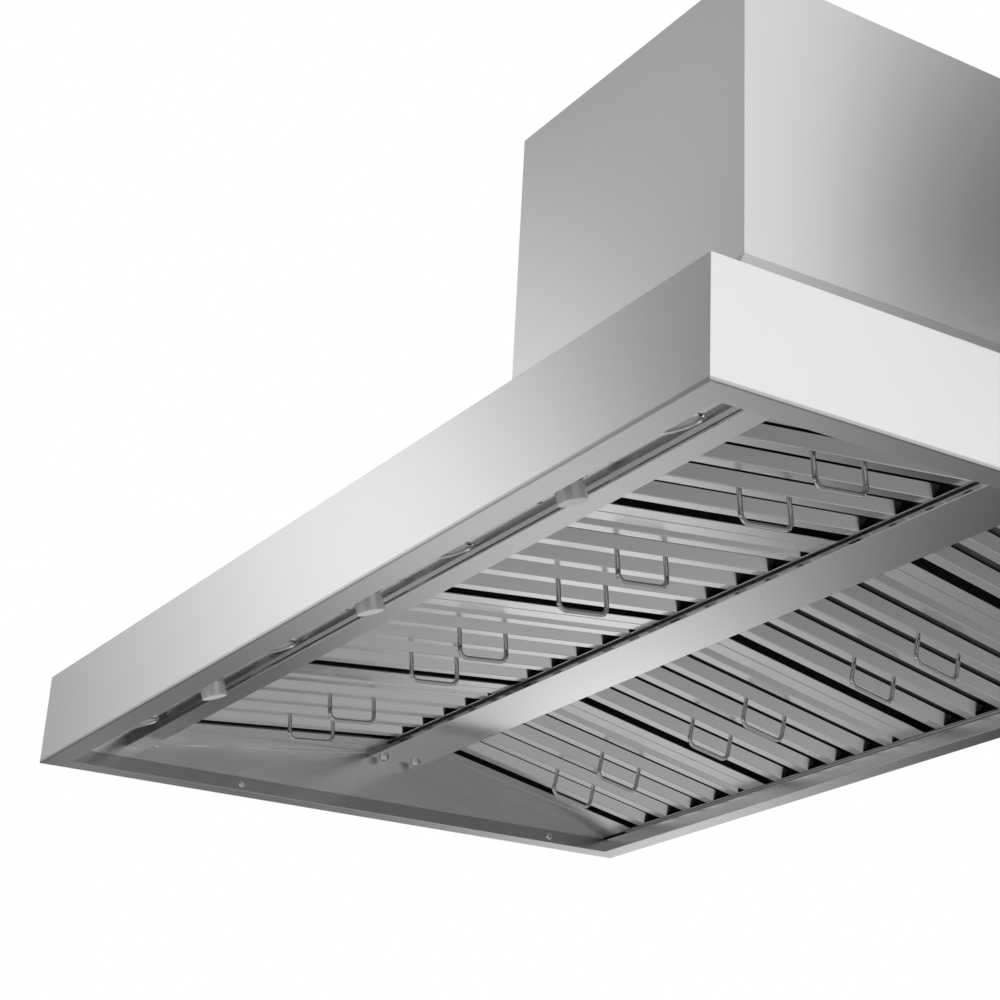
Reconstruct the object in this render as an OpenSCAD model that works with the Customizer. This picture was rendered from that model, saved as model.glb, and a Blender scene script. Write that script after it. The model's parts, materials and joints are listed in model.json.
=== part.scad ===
// Outdoor wall-mounted range hood with two banks of sloping baffle filters.
// X runs along the wall, Y points into the wall and Z is up. The origin is the centre of
// the wall bolts on the back face. Inside the modules Z is counted from the bottom rim.

/* [Canopy] */
// Width of the canopy
hood_w = 1524; // [1500:1:1560]
// Depth of the canopy from the wall to the front face
hood_d = 919; // [900:1:940]
// Height of the vertical band
band_h = 119; // [110:1:135]
// Thickness of the stainless sheet
sheet = 1.2; // [1:0.1:1.5]
// Width of the return flange along the bottom rim
flange_w = 32; // [28:1:36]
// Height of the upturned lip on the front and side flanges
lip_h = 19; // [17:0.5:21]
// Height of the upturned lip on the wall side
rear_lip_h = 14.5; // [12:0.5:16]
// Height of the top of the sloping roof
roof_top_z = 465; // [450:1:480]
// Distance of the roof's foot from the faces of the band
roof_inset = 50; // [40:1:60]
// Width of the band's top ledge
ledge_w = 68; // [62:1:74]
// Width of the shelf round the roof's top opening
shelf_w = 15; // [12:1:18]
// Height of the roof's neck inside the chimney
neck_h = 25; // [20:1:30]

/* [Chimney] */
// Width of the chimney cover
chimney_w = 529; // [520:1:540]
// Depth of the chimney cover
chimney_d = 510; // [500:1:520]
// Height of the chimney cover's top above the rim
chimney_top_z = 877; // [840:1:900]
// Width of the chimney cover's returns at the wall
chimney_return_w = 18; // [15:1:22]
// Height of the wall bracket that holds the chimney
bracket_h = 30; // [25:1:40]

/* [Wall mount] */
// Distance between the wall bolts along the wall
bolt_dx = 406.4; // [400:0.1:412]
// Distance between the wall bolts in height
bolt_dz = 254; // [245:1:260]
// Radius of the wall bolt holes
bolt_hole_r = 5.5; // [5:0.1:6]
// Height of the middle of the bolt pattern above the rim
mount_z = 300; // [295:1:305]
// Length of the two stiffening rails
mount_rail_l = 500; // [480:1:510]
// Height of a stiffening rail
mount_rail_h = 60; // [50:1:64]
// Thickness of a stiffening rail
mount_rail_t = 3; // [2:0.5:4]

/* [Filters] */
// Width of the strip beside the outer filters
side_strip_w = 56; // [55:1:70]
// Gap between neighbouring filters
filter_gap = 1; // [0.8:0.1:1.5]
// Depth of a filter frame
filter_h = 24; // [23:0.5:27]
// Width of a filter frame's bottom flange
filter_flange_w = 22; // [20:1:24]
// Width of a filter frame's top flange
filter_top_flange_w = 8; // [6:1:10]
// How far a filter's low end lies on its ledge
seat_overlap = 16; // [14:0.5:17]
// Thickness of the baffle sheet
baffle_t = 0.9; // [0.8:0.1:1]
// Distance of the outer baffles' middles from the frame's sides
baffle_inset = 20.5; // [20.5:0.5:23]
// Width of a baffle's flat
baffle_flat_w = 16.5; // [15:0.5:18]
// Sideways run of a baffle's sloping wall
baffle_run = 11; // [10:0.5:11.5]
// Height of a baffle
baffle_h = 12; // [11:0.5:12.5]
// Height of the upper baffles' crowns above the filter's underside
upper_crown_h = 21; // [20.5:0.5:21.5]
// Diameter of the handle wire
wire_d = 5.6; // [5:0.2:6.4]
// Distance between the legs of a handle
handle_w = 64; // [60:1:70]
// How far a handle reaches below the filter
handle_drop = 33; // [30:1:36]
// Inside corner radius of a handle
handle_bend_r = 7; // [5:0.5:9]
// Place of the handles along the filters, from the low end's ledge
front_handle_s = 162; // [150:1:172]
// Place of the handles along the rear filters, from the low end's ledge
rear_handle_s = 166; // [150:1:172]

/* [Filter supports] */
// Distance of the front rail from the front face
rail_y = 107; // [104:1:110]
// Width of the front rail
rail_w = 29; // [27:1:31]
// Height of the front rail's underside
rail_z = 35.5; // [33:0.5:38]
// Height of the front filters' low seat
front_seat_z = 56; // [54:0.5:58]
// Height of the rear filters' low seat
rear_seat_z = 20.3; // [19.5:0.1:21]
// Height of the filters at both edges of the centre bar
ridge_z = 87.3; // [85.5:0.1:89]
// How far the centre bar's middle lies behind the middle between the two low seats
bar_shift = 1.5; // [-3:0.5:6]
// Width of the centre bar
bar_w = 86; // [84:1:90]
// Height of the centre bar's underside
bar_z = 79.5; // [79:0.1:80]
// Height of the centre bar's side walls
bar_wall_h = 5.5; // [5:0.1:5.8]
// Distance of the bar's bolts from its middle line
bar_bolt_dy = 26; // [22:1:30]
// Distance of the bar's bolts from the end panels
bar_bolt_dx = 18; // [15:1:22]

/* [Light panel] */
// Tilt of the light panel
panel_tilt = 18; // [16.5:0.5:19]
// Distance of the outer lights from the canopy's sides
light_inset = 153; // [147:1:162]
// Outer radius of a light's bezel
bezel_r = 29; // [28:0.5:30]
// Radius of a light's lens
lens_r = 24; // [22:0.5:25]
// Depth of a lamp housing behind the panel
lamp_h = 44; // [36:1:46]
// How far each knob lies right of the middle between two lights
knob_shift = 28; // [20:1:36]
// Radius of a knob
knob_r = 15.3; // [14:0.1:16]
// Length of a knob
knob_l = 17; // [15:0.5:18]
// Distance of the lights and knobs from the crease, along the panel
control_s = 35; // [34.5:0.5:36]

/* [Blowers] */
// Distance of a blower housing from the duct plate's edge
blower_edge = 16.5; // [12:0.5:20]
// Distance of the duct collars from the wall
duct_y = 255; // [245:1:265]
// Distance between the two collars' flanges
duct_gap = 80.4; // [79:0.1:86]
// Height of a duct collar
duct_h = 60; // [50:1:70]
// Depth of the blower outlet
outlet_d = 125; // [120:1:130]
// Height of the outlet above the fan axis
outlet_h = 150; // [140:1:160]
// Scroll radius at the cut-off
scroll_r0 = 88; // [86:1:90]
// Scroll radius at the outlet
scroll_r1 = 125; // [120:1:130]
// Outer radius of the fan wheel
wheel_r = 80; // [78:1:82]
// Gap between the fan wheel and its housing's walls
wheel_gap = 25; // [20:1:30]
// Number of blades
blade_count = 24; // [20:1:28]
// Radius of the motor
motor_r = 55; // [50:1:58]
// Length of the motor
motor_l = 90; // [80:1:100]
// Radius of the motor shaft
shaft_r = 6; // [5:0.5:7]

/* [Hidden] */

$fn = 72;
// Number of filters in each bank
filter_count = 4;
eps = 0.01;
// Overrun of every cut
cut = 2;
// Clearance between pieces that are seated on each other
seat_gap = 0.3;
// Radial clearance of a shaft in its bearing
run_gap = 0.05;
// Radial clearance round a screw's shank
screw_gap = 0.3;

steel = "#c9cacb";
steel_dark = "#8d8f91";
steel_bright = "#e2e3e4";
zinc = "#a9adb0";
black_paint = "#2c2d2e";
glass_tint = "#e9edf0";

// Places along Y are given from the front face, which is easier to measure
function from_front(v) = v - hood_d;
function unit(v) = v / norm(v);
function left_of(v) = [-v.y, v.x];

// Derived sizes of the canopy
half_w = hood_w / 2;
lip_x = half_w - flange_w;
chimney_half = chimney_w / 2;
roof_half = half_w - roof_inset;
roof_d = hood_d - roof_inset;
roof_rise = roof_top_z - band_h;
side_slope = atan(roof_rise / (roof_half - chimney_half));
front_slope = atan(roof_rise / (roof_d - chimney_d));
neck_half = chimney_half - sheet - seat_gap;
neck_d = chimney_d - sheet - seat_gap;
plate_half = neck_half - sheet - seat_gap;

// Derived sizes of the filters and their seats
front_seat_y = rail_y + rail_w;
rear_seat_y = hood_d - flange_w;
bar_y = (front_seat_y + rear_seat_y) / 2 + bar_shift;
bar_front_y = bar_y - bar_w / 2;
bar_rear_y = bar_y + bar_w / 2;
front_tilt = atan((ridge_z - front_seat_z) / (bar_front_y - front_seat_y));
rear_tilt = atan((ridge_z - rear_seat_z) / (rear_seat_y - bar_rear_y));
filter_l = (bar_front_y - front_seat_y) / cos(front_tilt) + 2 * seat_overlap;
bank_half = lip_x - side_strip_w;
filter_pitch = 2 * bank_half / filter_count;
filter_w = filter_pitch - filter_gap;
baffle_count = 5;
baffle_pitch = (filter_w - 2 * baffle_inset) / baffle_count;
baffle_centre = filter_w / 2;
bar_top_z = bar_z + bar_wall_h;
function front_plane_z(y) = front_seat_z + (y - front_seat_y) * tan(front_tilt);
function rear_plane_z(y) = rear_seat_z + (rear_seat_y - y) * tan(rear_tilt);

// Derived sizes of the light panel: it rises from the front lip to the crease
panel_low_y = flange_w + sheet + seat_gap;
panel_step = 2;
panel_low_z = lip_h + panel_step;
crease_y = rail_y - sheet - seat_gap;
crease_z = panel_low_z + (crease_y - panel_low_y) * tan(panel_tilt);
bay_drop = 16;
bay_top_z = band_h - sheet - bay_drop;
liner_x = lip_x - seat_gap;

// Small sizes of the fasteners
screw_head_r = 5;
screw_head_h = 3.4;
screw_socket_r = 1.8;
screw_socket_h = 2;
screw_shank_r = 2.4;
screw_l = 9;
front_screw_y = 278;
rear_screw_y = 134;
side_screw_ys = [front_screw_y, hood_d - rear_screw_y];
side_screw_z = 9;
rail_screw_y = 147.6;
rail_screw_z = 43;
bar_bolt_head_r = 6.5;
bar_bolt_head_h = 4.4;
bar_bolt_socket_r = 2.4;
bar_bolt_socket_h = 2.6;
bar_bolt_washer_r = 8;
bar_bolt_washer_t = 1.4;
bar_bolt_l = 9;
// Outline of a button head, as shares of its radius and height
button_shares = [[1, 0], [1, 0.25], [0.95, 0.5], [0.85, 0.75], [0.7, 0.92], [0.5, 1]];

// Places modules in the part's own frame, whose origin is the wall bolts' centre
module at_mount() translate([0, 0, -mount_z]) children();

// A box that stands against the wall, centred on X
module wall_box(w, d, h) translate([-w / 2, -d, 0]) cube([w, d, h]);

// The same box drawn in by one inset on all four sides
module inset_box(inset, z, h)
  translate([-half_w + inset, -hood_d + inset, z])
    cube([hood_w - 2 * inset, hood_d - 2 * inset, h]);

// Turns an outline drawn in Y and Z into a bar along X
module along_x(length) rotate([90, 0, 90]) linear_extrude(length, center = true) children();

// Turns an outline drawn in X and Z into a plate against the wall
module along_wall(t) rotate([90, 0, 0]) linear_extrude(t) children();

// A folded sheet: the path is one face and the sheet lies to its left
function fold_point(path, i, t) =
  let (a = i > 0 ? unit(path[i] - path[i - 1]) : unit(path[1] - path[0]),
       b = i < len(path) - 1 ? unit(path[i + 1] - path[i]) : a,
       n = unit(left_of(a) + left_of(b)))
  path[i] + n * t / (n * left_of(a));
module folded(path, t)
  polygon(concat(path, [for (i = [len(path) - 1:-1:0]) fold_point(path, i, t)]));

// Paths given from the front face become places along Y
function yz(points) = [for (p = points) [from_front(p.x), p.y]];

module at_panel(x)
  translate([x, from_front(crease_y - control_s * cos(panel_tilt)),
             crease_z - control_s * sin(panel_tilt)])
    rotate([180 + panel_tilt, 0, 0]) children();
light_count = 4;
light_pitch = 2 * (half_w - light_inset) / (light_count - 1);
light_xs = [for (i = [0:light_count - 1]) light_inset - half_w + i * light_pitch];
knob_xs = [for (i = [1:light_count - 1]) (light_xs[i - 1] + light_xs[i]) / 2 + knob_shift];

// Vertical band with its bottom flange, upturned lip and top ledge
module canopy_band() color(steel) at_mount() {
  difference() {
    wall_box(hood_w, hood_d, band_h);
    inset_box(sheet, sheet, band_h - 2 * sheet);
    inset_box(flange_w, -cut, sheet + 2 * cut);
    translate([0, -sheet, band_h - sheet - cut])
      wall_box(hood_w - 2 * ledge_w, hood_d - ledge_w - sheet, sheet + 2 * cut);
  }
  difference() {
    inset_box(flange_w - sheet, 0, lip_h);
    inset_box(flange_w, -cut, lip_h + 2 * cut);
    translate([0, -flange_w + cut, rear_lip_h])
      wall_box(hood_w - 2 * flange_w, sheet + 2 * cut, lip_h);
    for (side = [0, 1]) mirror([side, 0, 0]) side_screw_places()
      cylinder(r = screw_shank_r + screw_gap, h = 2 * screw_l, center = true);
  }
}

// Solid between the roof's foot and its top, drawn in by an inset on the three sloping sides
module roof_solid(foot, top, drop) hull() {
  translate([0, cut, band_h - drop])
    wall_box(2 * (roof_half - foot.x), roof_d - foot.y + cut, eps);
  translate([0, cut, roof_top_z - drop - eps])
    wall_box(2 * (chimney_half - top.x), chimney_d - top.y + cut, eps);
}

// Sloping roof shell with a foot flange, a shelf and a neck for the chimney
module canopy_roof() color(steel) at_mount() {
  wall = [sheet / sin(side_slope), sheet / sin(front_slope)];
  intersection() {
    union() {
      difference() {
        roof_solid([0, 0], [0, 0], 0);
        roof_solid(wall, wall, 0);
        translate([0, 0, roof_top_z - sheet])
          wall_box(2 * chimney_half - 2 * wall.x, chimney_d - wall.y, sheet + cut);
      }
      difference() {
        translate([0, 0, band_h]) wall_box(2 * roof_half, roof_d, sheet);
        translate([0, cut, band_h - cut])
          wall_box(2 * (half_w - ledge_w), hood_d - ledge_w + cut, sheet + 2 * cut);
      }
      difference() {
        translate([0, 0, roof_top_z - sheet]) wall_box(chimney_w, chimney_d, sheet);
        translate([0, cut, roof_top_z - sheet - cut])
          wall_box(chimney_w - 2 * shelf_w, chimney_d - shelf_w + cut, sheet + 2 * cut);
      }
      difference() {
        translate([0, 0, roof_top_z - eps]) wall_box(2 * neck_half, neck_d, neck_h + eps);
        translate([0, cut, roof_top_z - cut])
          wall_box(2 * (neck_half - sheet), neck_d - sheet + cut, neck_h + 2 * cut);
      }
    }
    translate([0, -sheet - seat_gap, 0]) wall_box(hood_w, hood_d, roof_top_z + neck_h + cut);
  }
}

// Back panel with the four wall bolt holes
module back_panel() color(steel) at_mount() difference() {
  along_wall(sheet) polygon([
    [-roof_half, band_h], [roof_half, band_h],
    [roof_half, band_h + sheet], [chimney_half, roof_top_z],
    [neck_half, roof_top_z], [neck_half, roof_top_z + neck_h],
    [-neck_half, roof_top_z + neck_h], [-neck_half, roof_top_z],
    [-chimney_half, roof_top_z], [-roof_half, band_h + sheet]]);
  wall_bolt_holes();
  at_gland() cylinder(r = gland_r + screw_gap, h = 2 * cut + sheet, center = true);
}

module wall_bolt_holes()
  for (x = [-1, 1] * bolt_dx / 2, z = [-1, 1] * bolt_dz / 2)
    translate([x, cut, mount_z + z]) rotate([90, 0, 0])
      cylinder(r = bolt_hole_r, h = sheet + mount_rail_t + 2 * cut);

// Two flat rails that spread the load of the wall bolts
module mounting_rails() color(zinc) at_mount() difference() {
  for (z = [-1, 1] * bolt_dz / 2)
    translate([0, -sheet, mount_z + z - mount_rail_h / 2])
      wall_box(mount_rail_l, mount_rail_t, mount_rail_h);
  wall_bolt_holes();
}

// Chimney cover: a three-sided sheet with returns at the wall
bracket_z = chimney_top_z - 2 * bracket_h;
chimney_screw_inset = chimney_return_w / 2;
chimney_screw_shares = [0.25, 0.75];
module chimney_cover() color(steel) at_mount() difference() {
  h = chimney_top_z - roof_top_z;
  translate([0, 0, roof_top_z]) wall_box(chimney_w, chimney_d, h);
  translate([0, -sheet, roof_top_z - cut])
    wall_box(chimney_w - 2 * sheet, chimney_d - 2 * sheet, h + 2 * cut);
  translate([0, cut, roof_top_z - cut])
    wall_box(chimney_w - 2 * chimney_return_w, chimney_return_w, h + 2 * cut);
  translate([0, cut, roof_top_z - cut])
    wall_box(chimney_w - 2 * sheet, cut + sheet + seat_gap, neck_h + 2 * cut);
  chimney_screw_places() cylinder(r = screw_shank_r + screw_gap, h = screw_l, center = true);
}

// Screw places on both sides of the chimney, pointing outwards
module chimney_screw_places()
  for (side = [-1, 1], z = chimney_screw_shares * bracket_h)
    translate([side * chimney_half, -sheet - chimney_screw_inset, bracket_z + z])
      rotate([0, 90 * side, 0]) children();

// Bracket on the wall inside the chimney's top, with an ear at each side
module chimney_bracket() color(zinc) at_mount() difference() {
  ear = chimney_return_w;
  foot = 3 * ear / 2;
  union() {
    translate([0, 0, bracket_z])
      wall_box(chimney_w - 2 * chimney_return_w - 2 * seat_gap, mount_rail_t / 2, bracket_h);
    for (side = [-1, 1]) {
      translate([side * (chimney_half - sheet - seat_gap - mount_rail_t / 4), -sheet - seat_gap,
                 bracket_z]) wall_box(mount_rail_t / 2, ear, bracket_h);
      translate([side * (chimney_half - sheet - seat_gap - foot / 2), -sheet - seat_gap,
                 bracket_z]) wall_box(foot, mount_rail_t / 2, bracket_h);
    }
  }
  chimney_screw_places() cylinder(r = screw_shank_r + screw_gap, h = 2 * screw_l, center = true);
}

// Plate that closes the roof's top and carries the blowers and collars
plate_z = roof_top_z;
collar_z = plate_z + sheet;
collar_flange_w = 9;
collar_edge = 1.7;
duct_r = (plate_half - collar_edge - duct_gap / 2) / 2 - collar_flange_w;
blower_x = plate_half - collar_edge - collar_flange_w - duct_r;
blower_w = 2 * (plate_half - blower_x - blower_edge);
blower_y = duct_y + outlet_d / 2;
blower_z = plate_z - outlet_h;
module duct_plate() color(steel_dark) at_mount() difference() {
  translate([0, -sheet - seat_gap, plate_z])
    wall_box(2 * plate_half, neck_d - 2 * (sheet + seat_gap), sheet);
  for (x = [-1, 1] * blower_x)
    translate([x, -duct_y + outlet_d / 2 - sheet, plate_z - cut])
      wall_box(blower_w - 2 * sheet, outlet_d - 2 * sheet, sheet + 2 * cut);
}

// Two round collars with a base flange, a stop ring and the flaps' pin
stop_w = 5;
pin_r = 2.5;
knuckle_r = 4;
knuckle_l = 26;
knuckle_xs = [20, 50];
pin_share = 0.45;
pin_z = collar_z + pin_share * duct_h;
flap_gap = 3;
flap_r = duct_r - sheet - flap_gap;
flap_t = 1;
module duct_collars() color(zinc) at_mount()
  for (x = [-1, 1] * blower_x) translate([x, -duct_y, 0]) {
    translate([0, 0, collar_z]) difference() {
      union() {
        cylinder(r = duct_r, h = duct_h);
        cylinder(r = duct_r + collar_flange_w, h = sheet);
      }
      translate([0, 0, -cut]) cylinder(r = duct_r - sheet, h = duct_h + 2 * cut);
    }
    translate([0, 0, pin_z - knuckle_r - seat_gap - sheet]) difference() {
      cylinder(r = duct_r - sheet / 2, h = sheet);
      translate([0, 0, -cut]) cylinder(r = duct_r - sheet - stop_w, h = sheet + 2 * cut);
    }
    translate([0, 0, pin_z]) rotate([0, 90, 0])
      cylinder(r = pin_r, h = 2 * duct_r - sheet, center = true);
  }

// One half-round flap that turns on the collar's pin; side is -1 for front and 1 for rear
module damper_flap(x, side) color(steel_bright) at_mount() translate([x, -duct_y, pin_z]) {
  places = [for (k = knuckle_xs) k * (k == knuckle_xs[0] ? side : -side)];
  difference() {
    union() {
      intersection() {
        translate([0, 0, -knuckle_r]) cylinder(r = flap_r, h = flap_t);
        union() {
          translate([-flap_r, side > 0 ? knuckle_r + seat_gap : -flap_r - knuckle_r - seat_gap,
                     -knuckle_r - cut]) cube([2 * flap_r, flap_r, flap_t + 2 * cut]);
          for (p = places)
            translate([p - knuckle_l / 2, side > 0 ? 0 : -2 * knuckle_r, -knuckle_r - cut])
              cube([knuckle_l, 2 * knuckle_r, flap_t + 2 * cut]);
        }
      }
      for (p = places) translate([p, 0, 0]) rotate([0, 90, 0])
        cylinder(r = knuckle_r, h = knuckle_l, center = true);
    }
    rotate([0, 90, 0]) cylinder(r = pin_r + run_gap, h = 3 * flap_r, center = true);
  }
}

// Scroll outline in Y and Z about the fan axis, drawn in by the wall thickness
scroll_step = 12;
scroll_sweep = 270;
function scroll_r(a) = scroll_r1 + (scroll_r0 - scroll_r1) * a / scroll_sweep;
function scroll_points(inset, top) = concat(
  [[scroll_r1 - inset, top], [scroll_r1 - inset, 0]],
  [for (a = [scroll_step:scroll_step:scroll_sweep - scroll_step / 2])
     (scroll_r(a) - inset) * [cos(-a), sin(-a)]],
  [[inset, scroll_r0 - inset], [inset, top]]);
inlet_r = 62;
inlet_lip = 6;
motor_boss_r = 20;

// Two scroll housings with a rolled inlet on the inner side
module blower_housings() color(zinc) at_mount()
  for (side = [-1, 1])
    translate([side * blower_x, -blower_y, blower_z]) {
      difference() {
        along_x(blower_w) polygon(scroll_points(0, outlet_h));
        along_x(blower_w - 2 * sheet) polygon(scroll_points(sheet, outlet_h + cut));
        translate([-side * blower_w / 2, 0, 0]) rotate([0, 90, 0])
          cylinder(r = inlet_r, h = 3 * sheet, center = true);
        translate([side * blower_w / 2, 0, 0]) rotate([0, 90, 0])
          cylinder(r = motor_boss_r + screw_gap, h = 3 * sheet, center = true);
      }
      translate([-side * blower_w / 2, 0, 0]) rotate([0, 90 * side, 0]) difference() {
        translate([0, 0, eps]) cylinder(r = inlet_r + sheet, h = inlet_lip);
        translate([0, 0, -cut]) cylinder(r = inlet_r, h = inlet_lip + 2 * cut);
      }
    }

// Two motors with a mounting plate, a boss, cooling rings and a blind bearing bore
motor_plate_r = 70;
motor_ring_h = 2;
motor_ring_t = 7.5;
motor_ring_shares = [0.3, 0.5, 0.7];
shaft_bore_l = 50;
module motors() color(black_paint) at_mount()
  for (side = [-1, 1])
    translate([side * (blower_x + blower_w / 2), -blower_y, blower_z]) rotate([0, 90 * side, 0])
      difference() {
        union() {
          cylinder(r = motor_plate_r, h = 2 * sheet);
          cylinder(r = motor_r, h = motor_l);
          for (s = motor_ring_shares) translate([0, 0, s * motor_l])
            cylinder(r = motor_r + motor_ring_h, h = motor_ring_t);
          translate([0, 0, -2 * sheet]) cylinder(r = motor_boss_r, h = 2 * sheet + eps);
        }
        translate([0, 0, -cut - 2 * sheet])
          cylinder(r = shaft_r + run_gap, h = shaft_bore_l + cut + 2 * sheet);
      }

blade_ring_w = 16;
wheel_inner_r = wheel_r - blade_ring_w;
wheel_w = blower_w - 2 * wheel_gap;
hub_r = 14;
hub_l = 30;
blade_angle = -20;
blade_curve_r = 13;
blade_sweep = 75;

// Motor shaft: it reaches from the bearing bore through the fan wheel's hub
module motor_shaft(side) color(steel_bright) at_mount()
  translate([side * (blower_x + blower_w / 2), -blower_y, blower_z])
    rotate([0, -90 * side, 0])
      translate([0, 0, -shaft_bore_l + seat_gap])
        cylinder(r = shaft_r, h = shaft_bore_l + wheel_gap + hub_l);

// Fan wheel: a back plate with hub, forward-curved blades and a rim at the inlet side
module fan_wheel(side) color(zinc) at_mount()
  translate([side * (blower_x + blower_w / 2 - wheel_gap), -blower_y, blower_z])
    rotate([0, -90 * side, 0]) {
      difference() {
        union() {
          cylinder(r = wheel_r, h = sheet);
          cylinder(r = hub_r, h = hub_l);
        }
        translate([0, 0, -cut]) cylinder(r = shaft_r + eps, h = hub_l + 2 * cut);
      }
      translate([0, 0, wheel_w - 2 * sheet]) difference() {
        cylinder(r = wheel_r, h = 2 * sheet);
        translate([0, 0, -cut]) cylinder(r = wheel_inner_r, h = 2 * sheet + 2 * cut);
      }
      for (i = [0:blade_count - 1]) rotate([0, 0, i * 360 / blade_count])
        translate([(wheel_r + wheel_inner_r) / 2, 0, sheet / 2]) rotate([0, 0, blade_angle]) blade();
    }

// One curved blade that stands on the back plate
module blade()
  translate([0, -blade_curve_r, 0]) rotate([0, 0, 90 - blade_sweep / 2])
    rotate_extrude(angle = blade_sweep) translate([blade_curve_r, 0])
      square([sheet, wheel_w - 2 * sheet]);

// Junction box on the back panel; its gland takes the cable in through the wall side
box_w = 140;
box_d = 55;
box_h = 90;
box_x = -420;
box_z = 190;
gland_r = 11;
gland_bore_r = 6;
gland_l = 16;
gland_nut_r = 15;
gland_nut_h = 5;
gland_x = 35;
module at_gland() translate([box_x + gland_x, 0, box_z + box_h / 2]) rotate([90, 0, 0]) children();
module junction_box() color(zinc) at_mount() {
  difference() {
    translate([box_x, -sheet, box_z]) wall_box(box_w, box_d, box_h);
    translate([box_x, -2 * sheet, box_z + sheet])
      wall_box(box_w - 2 * sheet, box_d - 2 * sheet, box_h - 2 * sheet);
    at_gland() cylinder(r = gland_bore_r, h = gland_l);
  }
  translate([box_x, -sheet - box_d, box_z - sheet])
    wall_box(box_w + 2 * sheet, sheet, box_h + 2 * sheet);
  difference() {
    union() {
      at_gland() cylinder(r = gland_r, h = gland_l);
      translate([0, -2 * sheet, 0]) at_gland() cylinder(r = gland_nut_r, h = gland_nut_h, $fn = 6);
    }
    translate([0, cut, 0]) at_gland() cylinder(r = gland_bore_r, h = gland_l + 2 * cut);
  }
}

// End liner: an upright panel that follows the filters' slopes, with ledges beside the filters
ledge_x = bank_half + seat_gap;
ledge_turn_h = 6;
tab_z = 5;
tab_rise = 4;
tab_top_z = lip_h + tab_rise;
module end_liner(side) color(steel) at_mount() mirror([side < 0 ? 1 : 0, 0, 0]) difference() {
  wall_x = lip_x + sheet / 2;
  tab_x = lip_x + sheet + seat_gap;
  wall_rise = 3 * sheet;
  union() {
    translate([wall_x, 0, 0]) along_x(sheet) polygon(yz([
      [panel_low_y, lip_h + seat_gap],
      [rear_seat_y - sheet, lip_h + seat_gap],
      [rear_seat_y - sheet, rear_plane_z(rear_seat_y - sheet) + wall_rise],
      [bar_rear_y, ridge_z + wall_rise],
      [bar_front_y, ridge_z + wall_rise],
      [front_seat_y, front_seat_z + wall_rise],
      [rail_y + 2 * sheet + seat_gap, front_seat_z + wall_rise],
      [rail_y + 2 * sheet + seat_gap, crease_z + wall_rise],
      [crease_y, crease_z + wall_rise],
      [panel_low_y, panel_low_z + wall_rise]]));
    // tab behind the band's lip, and the joggle that joins it to the panel
    translate([tab_x + sheet / 2, 0, 0]) along_x(sheet) polygon(yz([
      [2 * flange_w, tab_z], [rear_seat_y - flange_w, tab_z],
      [rear_seat_y - flange_w, tab_top_z], [2 * flange_w, tab_top_z]]));
    translate([(wall_x + tab_x + sheet / 2) / 2, 0, 0]) along_x(tab_x - lip_x) polygon(yz([
      [2 * flange_w, tab_top_z - sheet], [rear_seat_y - flange_w, tab_top_z - sheet],
      [rear_seat_y - flange_w, tab_top_z], [2 * flange_w, tab_top_z]]));
    // ledges beside the filters, stepped down to the centre bar
    translate([(wall_x + ledge_x) / 2, 0, 0]) along_x(wall_x - ledge_x) {
      ledge_profile(true, sheet, 0);
      ledge_profile(false, sheet, 0);
      folded(yz([[bar_front_y, ridge_z + 2 * sheet], [bar_front_y, bar_top_z],
                 [bar_rear_y, bar_top_z], [bar_rear_y, ridge_z + 2 * sheet]]), sheet);
    }
    // upturned edge that guides the filters' sides
    translate([ledge_x + sheet / 2, 0, 0]) along_x(sheet) {
      ledge_profile(true, ledge_turn_h, sheet);
      ledge_profile(false, ledge_turn_h, sheet);
    }
  }
  side_screw_places() cylinder(r = screw_shank_r + screw_gap, h = 4 * screw_l, center = true);
  bar_bolt_places() cylinder(r = screw_shank_r + screw_gap, h = 4 * bar_bolt_l, center = true);
}

// One ledge seen from the side: a strip that stands on the filters' plane, drawn in at its ends
module ledge_profile(is_front, t, inset) {
  front_start = front_seat_y + inset;
  front_end = bar_front_y + sheet / 2 - inset;
  rear_start = bar_rear_y - sheet / 2 + inset;
  rear_end = rear_seat_y - 2 * sheet - inset;
  if (is_front)
    folded(yz([[front_start, front_plane_z(front_start)], [front_end, front_plane_z(front_end)]]),
           t);
  else
    folded(yz([[rear_start, rear_plane_z(rear_start)], [rear_end, rear_plane_z(rear_end)]]), t);
}

// Places of the screws along one side, pointing into the hood's mouth
module side_screw_places() {
  for (y = side_screw_ys) translate([lip_x, from_front(y), side_screw_z])
    rotate([0, -90, 0]) children();
  translate([lip_x, from_front(rail_screw_y), rail_screw_z]) rotate([0, -90, 0]) children();
}

// Places of the centre bar's bolts at one end, pointing down
module bar_bolt_places()
  for (dy = [-1, 1] * bar_bolt_dy)
    translate([lip_x - bar_bolt_dx, from_front(bar_y + dy), bar_z]) rotate([180, 0, 0]) children();

// Rail inside the wall-side lip that carries the rear filters' low ends
module rear_filter_rail() color(steel) at_mount() {
  y0 = rear_seat_y + 2 * sheet + seat_gap;
  y1 = rear_seat_y + seat_overlap + 2 * sheet;
  along_x(2 * liner_x) folded(yz([
    [y1, rear_plane_z(y1) + ledge_turn_h], [y1, rear_plane_z(y1) - seat_gap - sheet],
    [y0, rear_plane_z(y0) - seat_gap - sheet], [y0, tab_z]]), -sheet);
}

// Inclined light panel: tab behind the front lip, slope, and drop to the filter rail
panel_hem_z = 3;
module light_panel() color(steel) at_mount() difference() {
  along_x(2 * liner_x) folded(yz([
    [panel_low_y, tab_z], [panel_low_y, panel_low_z], [crease_y, crease_z],
    [crease_y, rail_z + panel_hem_z]]), sheet);
  for (x = light_xs) at_panel(x) cylinder(r = lamp_r + screw_gap, h = 10 * sheet, center = true);
  for (x = knob_xs) at_panel(x)
    cylinder(r = bush_r + screw_gap, h = 10 * sheet, center = true);
}

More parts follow.
